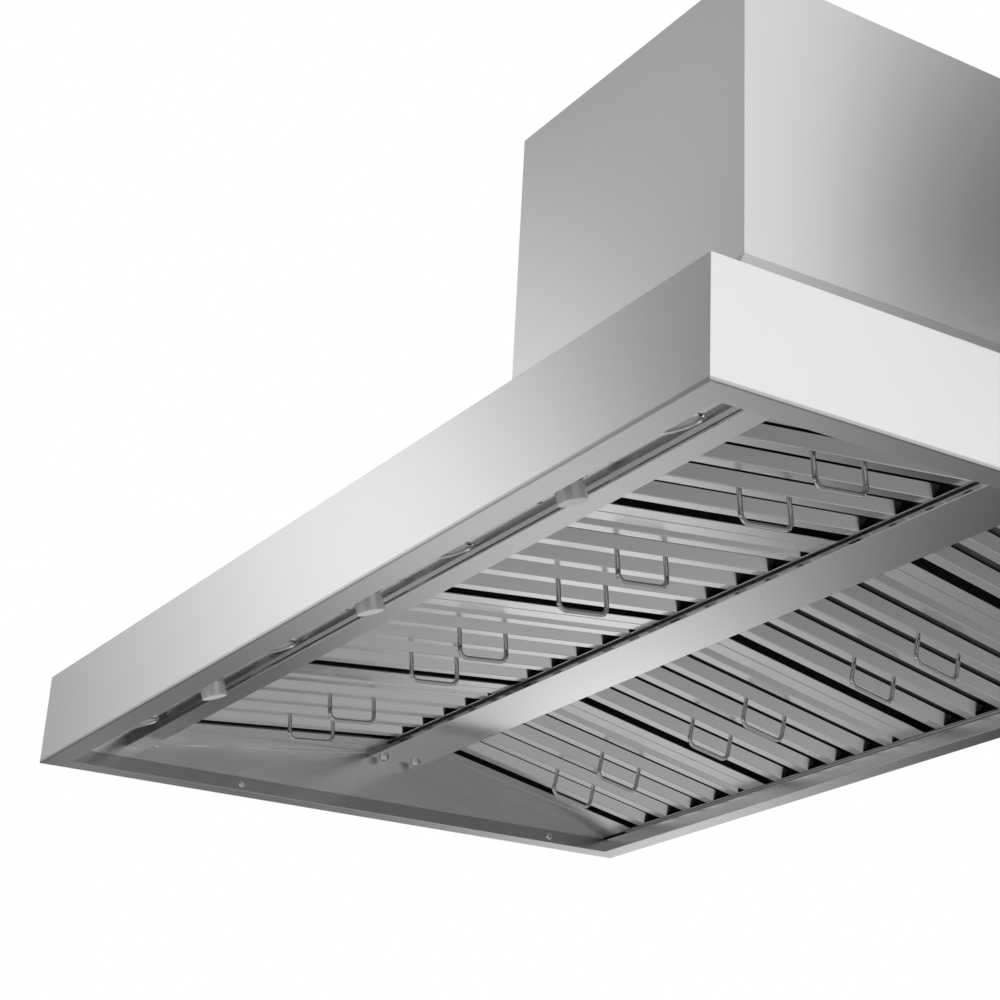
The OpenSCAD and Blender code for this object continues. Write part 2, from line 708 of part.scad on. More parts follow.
// Front rail that carries the front filters' low ends
module front_filter_rail() color(steel) at_mount() {
  y1 = front_seat_y;
  z1 = front_plane_z(y1) - seat_gap;
  y2 = front_seat_y - seat_overlap - 3 * seat_gap;
  along_x(2 * liner_x) folded(yz([
    [rail_y, crease_z - sheet], [rail_y, rail_z], [y1, rail_z], [y1, z1],
    [y2, front_plane_z(y2) - seat_gap], [y2, front_plane_z(y2) + ledge_turn_h]]), sheet);
}

// Centre bar: a shallow tray that hangs under the liners' ledges
module centre_bar() color(steel) at_mount() difference() {
  along_x(2 * liner_x) folded(yz([
    [bar_front_y, bar_top_z], [bar_front_y, bar_z], [bar_rear_y, bar_z],
    [bar_rear_y, bar_top_z]]), sheet);
  for (side = [0, 1]) mirror([side, 0, 0]) bar_bolt_places()
    cylinder(r = screw_shank_r + screw_gap, h = bar_bolt_l, center = true);
}

// Channel in the centre bar that carries the filters' high ends
ridge_inset = 8;
module ridge_channel() color(steel_dark) at_mount() {
  y0 = bar_front_y + ridge_inset;
  y1 = bar_rear_y - ridge_inset;
  base = bar_z + sheet;
  along_x(2 * (ledge_x - seat_gap)) folded(yz([
    [y0, base], [y0, front_plane_z(y0) - seat_gap], [y1, rear_plane_z(y1) - seat_gap],
    [y1, base]]), -sheet);
}

// A button head that points along +Z, with a hexagonal socket
module button_head(r, h, socket_r, socket_h) difference() {
  rotate_extrude() polygon(concat(
    [[0, 0]], [for (s = button_shares) [s.x * r, s.y * h]], [[0, h]]));
  translate([0, 0, h - socket_h]) cylinder(r = socket_r, h = socket_h + cut, $fn = 6);
}

// Four button-head bolts with washers that hold the centre bar up
module bar_bolts() color(steel_bright) at_mount()
  for (side = [0, 1]) mirror([side, 0, 0]) bar_bolt_places() {
    cylinder(r = bar_bolt_washer_r, h = bar_bolt_washer_t);
    translate([0, 0, bar_bolt_washer_t - eps])
      button_head(bar_bolt_head_r, bar_bolt_head_h, bar_bolt_socket_r, bar_bolt_socket_h);
    translate([0, 0, -bar_bolt_l]) cylinder(r = screw_shank_r, h = bar_bolt_l + eps);
  }

// Button-head screws along both sides and on the chimney
module cover_screws() color(steel_bright) at_mount() {
  for (side = [0, 1]) mirror([side, 0, 0]) side_screw_places() cover_screw();
  chimney_screw_places() cover_screw();
}
module cover_screw() {
  button_head(screw_head_r, screw_head_h, screw_socket_r, screw_socket_h);
  translate([0, 0, -screw_l]) cylinder(r = screw_shank_r, h = screw_l + eps);
}

// Cover that closes the wiring bay above the light panel
module wiring_cover() color(zinc) at_mount() {
  y0 = rail_y + sheet;
  along_x(2 * liner_x) folded(yz([
    [y0 + sheet, rail_z + 2 * sheet], [y0 + sheet, bay_top_z], [sheet + seat_gap, bay_top_z],
    [sheet + seat_gap, bay_top_z - flange_w / 2]]), sheet);
}

// Rotary controls behind the panel: a round body, a threaded bush and its nut
control_r = 12;
control_h = 18;
bush_r = 4.5;
bush_l = 6;
nut_r = 8;
nut_h = 2.4;
stem_r = 3;
stem_l = 14;
module rotary_controls() color(black_paint) at_mount()
  for (x = knob_xs) at_panel(x) difference() {
    union() {
      translate([0, 0, -sheet - control_h]) cylinder(r = control_r, h = control_h);
      translate([0, 0, -sheet - eps]) cylinder(r = bush_r, h = bush_l + sheet);
      cylinder(r = nut_r, h = nut_h, $fn = 6);
    }
    translate([0, 0, -sheet - stem_l]) cylinder(r = stem_r + run_gap, h = 3 * stem_l);
  }

// Knob with a shallow dome, a hollow back and its stem
knob_gap = 2;
knob_recess_r = 11;
knob_recess_h = 7;
knob_edge = 0.8;
knob_dome_h = 1.2;
dome_shares = [1, 0.85, 0.65, 0.4, 0];
module knob(x) color(steel_bright) at_mount() at_panel(x) {
  flat_r = knob_r - knob_edge;
  translate([0, 0, knob_gap]) difference() {
    rotate_extrude() polygon(concat(
      [[0, 0], [knob_r, 0], [knob_r, knob_l - knob_dome_h - knob_edge]],
      [for (s = dome_shares)
         [flat_r * s, knob_l - knob_dome_h + knob_dome_h * sqrt(1 - s * s)]]));
    translate([0, 0, -cut]) cylinder(r = knob_recess_r, h = knob_recess_h + cut);
  }
  translate([0, 0, -stem_l]) cylinder(r = stem_r, h = stem_l + knob_gap + knob_recess_h + eps);
}

// Lights: a rim round the hole, a lens set back in it and a housing behind the panel
lamp_r = 26;
bezel_h = 2;
lens_t = 2.4;
lens_back = 0.6;
lens_seat_w = 2;
bezel_rim_share = 0.4;
module light_bezels() color(steel_bright) at_mount() {
  rim = bezel_rim_share * bezel_h;
  for (x = light_xs) at_panel(x) rotate_extrude() polygon([
    [lens_r, -sheet], [lamp_r, -sheet], [lamp_r, 0], [bezel_r, 0], [bezel_r, rim],
    [bezel_r - bezel_h, bezel_h], [lens_r + bezel_h, bezel_h], [lens_r, rim]]);
}
module light_lenses() color(glass_tint) at_mount()
  for (x = light_xs) at_panel(x)
    translate([0, 0, -lens_back - lens_t]) cylinder(r = lens_r - seat_gap, h = lens_t);
module lamp_housings() color(steel_dark) at_mount()
  for (x = light_xs) at_panel(x) translate([0, 0, -sheet - lamp_h]) difference() {
    cylinder(r = lamp_r, h = lamp_h);
    translate([0, 0, sheet]) cylinder(r = lens_r - lens_seat_w, h = lamp_h);
    translate([0, 0, lamp_h + sheet - lens_back - lens_t - seat_gap])
      cylinder(r = lens_r, h = lamp_h);
  }

// Places a filter: local X across, Y up the slope, Z up from the underside
module at_filter(bank, i) at_mount() {
  x = -bank_half + (i - 1) * filter_pitch + filter_gap / 2;
  if (bank == "front")
    translate([x, from_front(front_seat_y), front_seat_z]) rotate([front_tilt, 0, 0])
      translate([0, -seat_overlap, 0]) children();
  else
    translate([x, from_front(rear_seat_y), rear_seat_z]) rotate([-rear_tilt, 0, 0])
      translate([0, seat_overlap - filter_l, 0]) children();
}

// Filter frame: four walls with a wide flange below and a narrow one above
module filter_frame(bank, i) color(steel) at_filter(bank, i) difference() {
  cube([filter_w, filter_l, filter_h]);
  translate([baffle_t, baffle_t, baffle_t])
    cube([filter_w - 2 * baffle_t, filter_l - 2 * baffle_t, filter_h - 2 * baffle_t]);
  translate([filter_flange_w, filter_flange_w, -cut])
    cube([filter_w - 2 * filter_flange_w, filter_l - 2 * filter_flange_w, 2 * cut]);
  translate([filter_top_flange_w, filter_top_flange_w, filter_h - cut])
    cube([filter_w - 2 * filter_top_flange_w, filter_l - 2 * filter_top_flange_w, 2 * cut]);
}

// Outline of a baffle across the filter: a flat with two sloping walls
module baffle_outline() folded([
  [-baffle_flat_w / 2 - baffle_run, baffle_h], [-baffle_flat_w / 2, 0],
  [baffle_flat_w / 2, 0], [baffle_flat_w / 2 + baffle_run, baffle_h]], baffle_t);

// Baffles: open troughs below and inverted ones above, staggered by half a pitch
baffle_end = 2;
module filter_baffles(bank, i) color(steel) at_filter(bank, i) {
  low_end = filter_flange_w - baffle_end;
  reach = baffle_pitch * (baffle_count - 1) / 2;
  for (x = [-reach:baffle_pitch:reach + eps]) translate([baffle_centre + x, low_end, baffle_t])
    rotate([90, 0, 180]) linear_extrude(filter_l - 2 * low_end) baffle_outline();
  upper_reach = baffle_pitch * baffle_count / 2;
  for (x = [-upper_reach:baffle_pitch:upper_reach + eps])
    translate([baffle_centre + x, filter_l - seat_gap - baffle_t, upper_crown_h])
      rotate([-90, 0, 180])
        linear_extrude(filter_l - 2 * seat_gap - 2 * baffle_t) baffle_outline();
}

// One bent wire handle whose feet stand on the plane of its flat, reaching down
module wire_handle() {
  r = wire_d / 2;
  bend = handle_bend_r + r;
  leg = handle_drop - bend;
  for (side = [-1, 1]) {
    translate([0, side * handle_w / 2, -leg]) cylinder(r = r, h = leg);
    translate([0, side * (handle_w / 2 - bend), -leg]) rotate([0, 90, 90 - 90 * side])
      rotate_extrude(angle = 90) translate([bend, 0]) circle(r = r);
  }
  translate([0, 0, -handle_drop]) rotate([90, 0, 0])
    cylinder(r = r, h = handle_w - 2 * bend, center = true);
}

module filter_handles(bank, i) color(steel_bright) at_filter(bank, i) {
  s = bank == "front" ? front_handle_s + seat_overlap : filter_l - rear_handle_s - seat_overlap;
  for (k = [-1, 1]) translate([baffle_centre + k * baffle_pitch, s, baffle_t]) wire_handle();
}

canopy_band();
canopy_roof();
back_panel();
mounting_rails();
chimney_cover();
chimney_bracket();
duct_plate();
duct_collars();
damper_flap(-blower_x, -1);  // damper_flap_left_front
damper_flap(-blower_x, 1);  // damper_flap_left_rear
damper_flap(blower_x, -1);  // damper_flap_right_front
damper_flap(blower_x, 1);  // damper_flap_right_rear
blower_housings();
motors();
motor_shaft(-1);  // motor_shaft_left
motor_shaft(1);  // motor_shaft_right
fan_wheel(-1);  // fan_wheel_left
fan_wheel(1);  // fan_wheel_right
junction_box();
end_liner(-1);  // end_liner_left
end_liner(1);  // end_liner_right
rear_filter_rail();
light_panel();
front_filter_rail();
centre_bar();
ridge_channel();
bar_bolts();
cover_screws();
wiring_cover();
knob(knob_xs[0]);  // knob_left
knob(knob_xs[1]);  // knob_middle
knob(knob_xs[2]);  // knob_right
rotary_controls();
light_bezels();
light_lenses();
lamp_housings();
for (bank = ["front", "rear"], i = [1:4]) {
  filter_frame(bank, i);
  filter_baffles(bank, i);
  filter_handles(bank, i);
}
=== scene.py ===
"""Wall-mounted outdoor range hood: folded stainless sheets, baffle filters, lights and knobs."""
import json
import math

import bpy
import bmesh
from mathutils import Matrix, Vector


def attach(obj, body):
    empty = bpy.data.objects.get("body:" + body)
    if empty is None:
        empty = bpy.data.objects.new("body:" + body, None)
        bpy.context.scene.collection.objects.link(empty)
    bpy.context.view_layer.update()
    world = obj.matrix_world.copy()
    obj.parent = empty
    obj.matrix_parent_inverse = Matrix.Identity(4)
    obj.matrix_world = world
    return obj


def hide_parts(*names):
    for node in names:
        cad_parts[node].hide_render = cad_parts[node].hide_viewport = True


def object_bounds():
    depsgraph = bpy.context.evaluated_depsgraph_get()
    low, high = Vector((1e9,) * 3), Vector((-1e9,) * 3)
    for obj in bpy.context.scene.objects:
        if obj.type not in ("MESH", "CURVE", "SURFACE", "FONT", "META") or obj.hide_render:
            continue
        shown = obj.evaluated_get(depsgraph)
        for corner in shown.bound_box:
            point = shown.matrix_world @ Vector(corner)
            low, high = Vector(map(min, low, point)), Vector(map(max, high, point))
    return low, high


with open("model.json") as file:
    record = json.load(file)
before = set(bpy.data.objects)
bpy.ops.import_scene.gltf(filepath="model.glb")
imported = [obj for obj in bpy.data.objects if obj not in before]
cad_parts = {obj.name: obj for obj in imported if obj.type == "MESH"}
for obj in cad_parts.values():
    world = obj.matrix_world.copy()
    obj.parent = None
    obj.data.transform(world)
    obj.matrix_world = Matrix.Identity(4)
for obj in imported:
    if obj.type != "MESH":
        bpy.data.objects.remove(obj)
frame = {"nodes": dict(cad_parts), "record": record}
cad_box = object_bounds()

bl_info = {
    "name": "Outdoor Range Hood",
    "version": (1, 0, 0),
    "blender": (4, 5, 0),
    "location": "3D View > Sidebar > Range Hood",
    "description": "Dresses the hood's frame with folded steel, filters, lights and knobs",
    "category": "Add Mesh",
}

MM = 0.001
FILTERS = [f"{bank}_filter_{i}" for bank in ("front", "rear") for i in range(1, 5)]

# The frame's box gives half the width, the front face, the underside and the chimney's top
HALF_WIDTH = cad_box[1][0]
FRONT = cad_box[0][1]
BOTTOM = cad_box[0][2]
TOP = cad_box[1][2]

# Sheets: thickness, bottom flange and the lip that stands on its inner edge
SHEET = 1.2 * MM
FLANGE_WIDTH = 32 * MM
LIP_HEIGHT = 19 * MM
LIP_X = HALF_WIDTH - FLANGE_WIDTH

# Light panel: it rises from its low edge to the crease, and its lights and knobs sit in one row
PANEL_TILT = math.radians(18)
PANEL_LOW_DEPTH = 33.5 * MM
PANEL_LOW_HEIGHT = 21 * MM
CREASE_DEPTH = 105.5 * MM
ROW_BELOW_CREASE = 35 * MM
LIGHT_INSET = 153 * MM
LIGHT_COUNT = 4
LIGHT_PITCH = 2 * (HALF_WIDTH - LIGHT_INSET) / (LIGHT_COUNT - 1)
LIGHT_XS = [LIGHT_INSET - HALF_WIDTH + i * LIGHT_PITCH for i in range(LIGHT_COUNT)]
KNOB_NAMES = ("knob_left", "knob_middle", "knob_right")
KNOB_SHIFT = 28 * MM
KNOB_XS = {name: (a + b) / 2 + KNOB_SHIFT for name, a, b in zip(KNOB_NAMES, LIGHT_XS, LIGHT_XS[1:])}

# Each bank's seat and ridge, as depth behind the front face and height above the underside
BANK_SEATS = {
    "front": ((136 * MM, 56 * MM), (470 * MM, 87.3 * MM)),
    "rear": ((887 * MM, 20.3 * MM), (556 * MM, 87.3 * MM)),
}


# Properties


class HoodSizes(bpy.types.PropertyGroup):
    """Sizes of the finish that the frame's plain sheets get"""

    fold_radius: bpy.props.FloatProperty(
        name="Fold radius", description="Outer radius of the sheets' folds",
        default=1.2 * MM, min=0.2 * MM, unit="LENGTH")
    baffle_radius: bpy.props.FloatProperty(
        name="Baffle fold radius", description="Outer radius of the baffles' folds",
        default=0.9 * MM, min=0.2 * MM, unit="LENGTH")


class HoodColours(bpy.types.PropertyGroup):
    """Colours of the hood's finishes"""

    canopy: bpy.props.FloatVectorProperty(
        name="Canopy steel", description="Brushed steel of the canopy and chimney",
        default=(0.70, 0.70, 0.695), subtype="COLOR", size=3, min=0, max=1)
    filters: bpy.props.FloatVectorProperty(
        name="Filter steel", description="Satin steel of the filters",
        default=(0.66, 0.66, 0.655), subtype="COLOR", size=3, min=0, max=1)
    bright: bpy.props.FloatVectorProperty(
        name="Polished steel", description="Handles, bolts and bezels",
        default=(0.72, 0.72, 0.72), subtype="COLOR", size=3, min=0, max=1)
    wire: bpy.props.FloatVectorProperty(
        name="Wire", description="Drawn wire of the filter handles",
        default=(0.58, 0.58, 0.58), subtype="COLOR", size=3, min=0, max=1)
    zinc: bpy.props.FloatVectorProperty(
        name="Zinc coat", description="Galvanised inner parts",
        default=(0.52, 0.54, 0.56), subtype="COLOR", size=3, min=0, max=1)


# Materials


BRUSH_ALONG = 6
BRUSH_ACROSS = 1400


def new_material(name):
    """A material with a shader and an output; returns its tree and shader too."""
    material = bpy.data.materials.new(name)
    material.use_nodes = True
    tree = material.node_tree
    tree.nodes.clear()
    output = tree.nodes.new("ShaderNodeOutputMaterial")
    shader = tree.nodes.new("ShaderNodeBsdfPrincipled")
    tree.links.new(shader.outputs["BSDF"], output.inputs["Surface"])
    return material, tree, shader


def add(tree, kind, **values):
    """A node with attributes, or input values for names that are inputs."""
    node = tree.nodes.new(kind)
    for key, value in values.items():
        if key in node.inputs:
            node.inputs[key].default_value = value
        else:
            setattr(node, key, value)
    return node


def math_node(tree, operation, a, b=None):
    """A math node on sockets or plain numbers; returns its output."""
    node = add(tree, "ShaderNodeMath", operation=operation)
    for i, v in enumerate((a, b)):
        if v is None:
            continue
        if isinstance(v, (int, float)):
            node.inputs[i].default_value = v
        else:
            tree.links.new(v, node.inputs[i])
    return node.outputs[0]


def map_range(tree, value, low, high, to_low, to_high):
    """The value's range from low to high, clamped and moved to a new range."""
    node = add(tree, "ShaderNodeMapRange")
    for name, v in (("From Min", low), ("From Max", high), ("To Min", to_low), ("To Max", to_high)):
        node.inputs[name].default_value = v
    tree.links.new(value, node.inputs["Value"])
    return node.outputs["Result"]


def grain_noise(tree, coordinates, scale, detail=2.0, roughness=0.6):
    """Noise that is stretched by the three scales, for brush marks along one axis."""
    mapping = add(tree, "ShaderNodeMapping")
    mapping.inputs["Scale"].default_value = scale
    tree.links.new(coordinates, mapping.inputs["Vector"])
    noise = add(tree, "ShaderNodeTexNoise", Scale=1.0, Detail=detail, Roughness=roughness)
    tree.links.new(mapping.outputs["Vector"], noise.inputs["Vector"])
    return noise.outputs["Fac"]


def two_tones(tree, factor, colour, darker, lighter):
    """The colour between a darker and a lighter share of itself, by a factor."""
    mix = add(tree, "ShaderNodeMix", data_type="RGBA", blend_type="MIX")
    mix.inputs["A"].default_value = [c * darker for c in colour] + [1]
    mix.inputs["B"].default_value = [min(1, c * lighter) for c in colour] + [1]
    tree.links.new(factor, mix.inputs["Factor"])
    return mix.outputs["Result"]


def relief(tree, shader, height, strength, distance):
    """Lets a height pattern turn the shader's normal."""
    bump = add(tree, "ShaderNodeBump", Strength=strength, Distance=distance)
    tree.links.new(height, bump.inputs["Height"])
    tree.links.new(bump.outputs["Normal"], shader.inputs["Normal"])


def brush_marks(tree, coordinates, normal):
    """Fine marks along X, or along Y on faces that look sideways."""
    lines_x = grain_noise(tree, coordinates, (BRUSH_ALONG, BRUSH_ACROSS, BRUSH_ACROSS))
    lines_y = grain_noise(tree, coordinates, (BRUSH_ACROSS, BRUSH_ALONG, BRUSH_ACROSS))
    aside = math_node(tree, "ABSOLUTE", normal.outputs["X"])
    sideways = math_node(tree, "GREATER_THAN", aside, 0.7)
    ahead = math_node(tree, "SUBTRACT", 1.0, sideways)
    return math_node(tree, "ADD",
                     math_node(tree, "MULTIPLY", lines_y, sideways),
                     math_node(tree, "MULTIPLY", lines_x, ahead))


def stretch_reflections(tree, shader, anisotropy):
    """Stretches the reflections across the marks, along the brush map."""
    shader.inputs["Anisotropic"].default_value = anisotropy
    shader.inputs["Anisotropic Rotation"].default_value = 0.25
    tangent = add(tree, "ShaderNodeTangent", direction_type="UV_MAP", uv_map="brush")
    tree.links.new(tangent.outputs["Tangent"], shader.inputs["Tangent"])


def brushed_steel(name, colour, roughness=0.22, grain=0.010, anisotropy=0.5, inside=False):
    """Brushed stainless, with painted shade in the hood's mouth where inside is set, and a painted dark
    reflection on the band's outer fold.
    """
    material, tree, shader = new_material(name)
    coordinates = add(tree, "ShaderNodeTexCoord").outputs["Object"]
    normal = add(tree, "ShaderNodeSeparateXYZ")
    tree.links.new(add(tree, "ShaderNodeNewGeometry").outputs["True Normal"], normal.inputs[0])
    lines = brush_marks(tree, coordinates, normal)
    broad = grain_noise(tree, coordinates, (3.1, 3.7, 4.3), detail=3.0)
    tone = math_node(tree, "ADD",
                     map_range(tree, lines, 0.25, 0.75, -grain, grain),
                     map_range(tree, broad, 0.3, 0.7, -0.006, 0.006))
    steel = two_tones(tree, math_node(tree, "ADD", tone, 0.6), colour, 0.82, 1.12)
    # Painted shade in the hood's mouth, and a painted dark reflection on the band's outer fold
    if inside:
        steel = with_painted_shade_and_reflection(tree, coordinates, normal, steel)
    tree.links.new(steel, shader.inputs["Base Color"])
    wear = math_node(tree, "ADD", lines, math_node(tree, "MULTIPLY", broad, 0.5))
    tree.links.new(map_range(tree, wear, 0.4, 1.1, roughness - 0.01, roughness + 0.015),
                   shader.inputs["Roughness"])
    relief(tree, shader, lines, 0.02, 0.02 * MM)
    shader.inputs["Metallic"].default_value = 1.0
    if anisotropy:
        stretch_reflections(tree, shader, anisotropy)
    return material


def product(tree, *factors):
    """The factors multiplied; a factor is (value, low, high, tone at low, tone at high)."""
    total = None
    for factor in factors:
        part = map_range(tree, *factor)
        total = part if total is None else math_node(tree, "MULTIPLY", total, part)
    return total


# How far each painted shade, and the fold's painted dark reflection, darkens the steel towards black
LIP_SHADE = 0.4
WALL_SHADE = 0.55
RIM_SHADE = 0.42
FOLD_REFLECTION_DARKNESS = 0.4


def painted_lip_shade(tree, place, normal):
    """Painted shade on the inner faces of the side lips."""
    top = BOTTOM + LIP_HEIGHT
    return product(tree,
                   (math_node(tree, "ABSOLUTE", normal.outputs["X"]), 0.9, 0.95, 0, 1),
                   (math_node(tree, "ABSOLUTE", place.outputs["X"]),
                    LIP_X + 0.4 * MM, LIP_X + 0.6 * MM, 1, 0),
                   (place.outputs["Z"], top + 0.3 * MM, top + 0.1 * MM, 0, LIP_SHADE))


def painted_wall_shade(tree, place, normal):
    """Painted shade on the upright walls behind the light panel, that fades out at the middle."""
    return product(tree,
                   (normal.outputs["Y"], -0.6, -0.9, 0, 1),
                   (place.outputs["X"], -0.5, 0.0, WALL_SHADE, 0.0),
                   (place.outputs["Y"], FRONT + 19 * MM, FRONT + 39 * MM, 0, 1),
                   (place.outputs["Z"], BOTTOM + 25 * MM, BOTTOM + 30 * MM, 0, 1),
                   (place.outputs["Z"], BOTTOM + 110 * MM, BOTTOM + 120 * MM, 1, 0))


def painted_rim_shade(tree, place, normal):
    """Painted shade on the bottom flange, that grows towards the wall."""
    return product(tree,
                   (normal.outputs["Z"], -0.95, -0.99, 0, 1),
                   (place.outputs["Y"], -0.55, -0.05, 0, RIM_SHADE),
                   (place.outputs["Z"], BOTTOM + 1.5 * MM, BOTTOM + 0.5 * MM, 0, 1))


def painted_fold_reflection(tree, place):
    """Painted dark reflection on the rounded fold at the foot of the band's outer faces."""
    aside = math_node(tree, "ABSOLUTE", place.outputs["X"])
    outside = math_node(tree, "MAXIMUM",
                        map_range(tree, aside, HALF_WIDTH - 3 * MM, HALF_WIDTH - 2 * MM, 0, 1),
                        map_range(tree, place.outputs["Y"], FRONT + 3 * MM, FRONT + 2 * MM, 0, 1))
    # Painted dark reflection: a dark line on the fold's last few millimetres
    foot = map_range(tree, place.outputs["Z"], BOTTOM + 4.5 * MM, BOTTOM + 2.5 * MM, 0, FOLD_REFLECTION_DARKNESS)
    return math_node(tree, "MULTIPLY", outside, foot)


def with_painted_shade_and_reflection(tree, coordinates, normal, steel):
    """The steel's colour with painted shade, a little darker where the hood's mouth keeps the light off,
    and a painted dark reflection on the band's outer fold.
    """
    place = add(tree, "ShaderNodeSeparateXYZ")
    tree.links.new(coordinates, place.inputs[0])
    shade = painted_lip_shade(tree, place, normal)
    for part in (painted_wall_shade(tree, place, normal), painted_rim_shade(tree, place, normal), painted_fold_reflection(tree, place)):
        shade = math_node(tree, "MAXIMUM", shade, part)
    darker = add(tree, "ShaderNodeMix", data_type="RGBA", blend_type="MIX")
    tree.links.new(shade, darker.inputs["Factor"])
    tree.links.new(steel, darker.inputs["A"])
    darker.inputs["B"].default_value = (0, 0, 0, 1)
    return darker.outputs["Result"]


def plain_metal(name, colour, roughness, grain_scale=900, bump_strength=0.05):
    """Even metal with a fine uneven surface."""
    material, tree, shader = new_material(name)
    coordinates = add(tree, "ShaderNodeTexCoord").outputs["Object"]
    fine = grain_noise(tree, coordinates, (grain_scale,) * 3)
    tree.links.new(two_tones(tree, fine, colour, 0.9, 1.08), shader.inputs["Base Color"])
    tree.links.new(map_range(tree, fine, 0.3, 0.7, roughness * 0.85, roughness * 1.15),
                   shader.inputs["Roughness"])
    relief(tree, shader, fine, bump_strength, 0.1 * MM)
    shader.inputs["Metallic"].default_value = 1.0
    return material


def galvanised(name, colour):
    """Zinc coat with soft crystal patches."""
    material, tree, shader = new_material(name)
    coordinates = add(tree, "ShaderNodeTexCoord").outputs["Object"]
    cells = add(tree, "ShaderNodeTexVoronoi", Scale=90.0)
    tree.links.new(coordinates, cells.inputs["Vector"])
    grey = add(tree, "ShaderNodeSeparateColor")
    tree.links.new(cells.outputs["Color"], grey.inputs["Color"])
    steel = two_tones(tree, grey.outputs["Red"], colour, 0.85, 1.1)
    tree.links.new(steel, shader.inputs["Base Color"])
    tree.links.new(map_range(tree, grey.outputs["Green"], 0, 1, 0.38, 0.55), shader.inputs["Roughness"])
    shader.inputs["Metallic"].default_value = 0.9
    return material


def satin_paint(name, colour, roughness=0.45):
    """Paint or plastic with a fine even grain."""
    material, tree, shader = new_material(name)
    coordinates = add(tree, "ShaderNodeTexCoord").outputs["Object"]
    fine = grain_noise(tree, coordinates, (700, 700, 700))
    relief(tree, shader, fine, 0.15, 0.2 * MM)
    tree.links.new(map_range(tree, fine, 0.3, 0.7, roughness - 0.06, roughness + 0.06),
                   shader.inputs["Roughness"])
    shader.inputs["Base Color"].default_value = (*colour, 1)
    return material


def lens_material(name):
    """Prismatic glass: clear, with small rounded prisms as relief."""
    material, tree, shader = new_material(name)
    coordinates = add(tree, "ShaderNodeTexCoord").outputs["Object"]
    cells = add(tree, "ShaderNodeTexVoronoi", Scale=330.0)
    cells.feature = "SMOOTH_F1"
    tree.links.new(coordinates, cells.inputs["Vector"])
    relief(tree, shader, cells.outputs["Distance"], 0.8, 1.5 * MM)
    shader.inputs["Base Color"].default_value = (0.86, 0.88, 0.89, 1)
    shader.inputs["Roughness"].default_value = 0.12
    shader.inputs["IOR"].default_value = 1.49
    shader.inputs["Transmission Weight"].default_value = 0.55
    return material


MATERIALS = {}


def make_materials():
    """All finishes of the hood, by a name that the pieces ask for."""
    colours = bpy.context.scene.hood_colours
    MATERIALS.update({
        "canopy_steel": brushed_steel("canopy steel", colours.canopy, grain=0.006, inside=True),
        "liner_steel": brushed_steel("liner steel", colours.canopy, roughness=0.25, grain=0.004,
                                     inside=True),
        "panel_steel": brushed_steel("panel steel", colours.canopy, roughness=0.14, grain=0.004,
                                     inside=True),
        "filter_steel": brushed_steel("filter steel", colours.filters, roughness=0.22, grain=0.005,
                                      anisotropy=0.0),
        # Near-black steel as painted shade on the upper baffles, for the dark inside seen through the
        # slots
        "filter_inner": plain_metal("filter inside", (0.12, 0.12, 0.12), 0.4),
        "bright_steel": plain_metal("polished steel", colours.bright, 0.09, bump_strength=0.02),
        "wire_steel": plain_metal("drawn wire", colours.wire, 0.07, bump_strength=0.02),
        "knob_steel": plain_metal("knob steel", (0.92, 0.92, 0.92), 0.5, grain_scale=1500,
                                  bump_strength=0.15),
        "zinc_steel": galvanised("zinc coated steel", colours.zinc),
        # Darker copy of the hood's steel: painted shade for the inner nodes that no new piece replaces
        "dark_steel": plain_metal("steel darkened as painted shade", (0.4, 0.41, 0.42), 0.4),
        "black_paint": satin_paint("black paint", (0.02, 0.02, 0.021)),
        "control_plastic": satin_paint("control plastic", (0.03, 0.03, 0.03), 0.55),
        "lens_glass": lens_material("prismatic lens"),
    })


def paint(piece, name):
    """Gives the piece one finish alone."""
    piece.data.materials.clear()
    piece.data.materials.append(MATERIALS[name])


# Modelling helpers


def deselect():
    bpy.ops.object.select_all(action="DESELECT")


def select_only(*objects):
    """Selects these objects and makes the first one active."""
    deselect()
    for o in objects:
        o.select_set(True)
    bpy.context.view_layer.objects.active = objects[0]


def apply_place(piece):
    """Puts the piece's place into its mesh, as a CAD node has it."""
    select_only(piece)
    bpy.ops.object.transform_apply(location=True, rotation=True, scale=True)


def edit(piece):
    """Edit mode on one piece with nothing selected; returns the mesh to edit."""
    select_only(piece)
    bpy.ops.object.mode_set(mode="EDIT")
    bpy.ops.mesh.select_mode(type="EDGE")
    bpy.ops.mesh.select_all(action="DESELECT")
    return bmesh.from_edit_mesh(piece.data)


def done():
    """Back to object mode."""
    bpy.ops.object.mode_set(mode="OBJECT")


def copy_of(node, name):
    """A merged copy of a CAD node's mesh, with flat faces joined."""
    source = frame["nodes"][node]
    piece = bpy.data.objects.new(name, source.data.copy())
    bpy.context.scene.collection.objects.link(piece)
    edit(piece)
    bpy.ops.mesh.select_all(action="SELECT")
    bpy.ops.mesh.remove_doubles(threshold=0.00001)
    bpy.ops.mesh.dissolve_limited(angle_limit=math.radians(0.6))
    done()
    return piece


FLATTEST_FOLD = math.radians(8)


def face_width(face):
    """Width of a narrow face, also of one that runs round a corner."""
    around = face.calc_perimeter()
    return 2 * face.calc_area() / around if around else 0


def round_folds(piece, radius, least_width=1.6 * MM, segments=4):
    """Rounds the outer edges where two broad faces meet, as a folded sheet has them."""
    mesh = edit(piece)
    folds = []
    for e in mesh.edges:
        if len(e.link_faces) != 2 or not e.is_convex or e.calc_face_angle(0) < FLATTEST_FOLD:
            continue
        if min(face_width(f) for f in e.link_faces) > least_width:
            folds.append(e)
    for e in folds:
        e.select_set(True)
    bmesh.update_edit_mesh(piece.data)
    if folds:
        bpy.ops.mesh.bevel(offset=radius, segments=segments, profile=0.5, clamp_overlap=True)
    done()


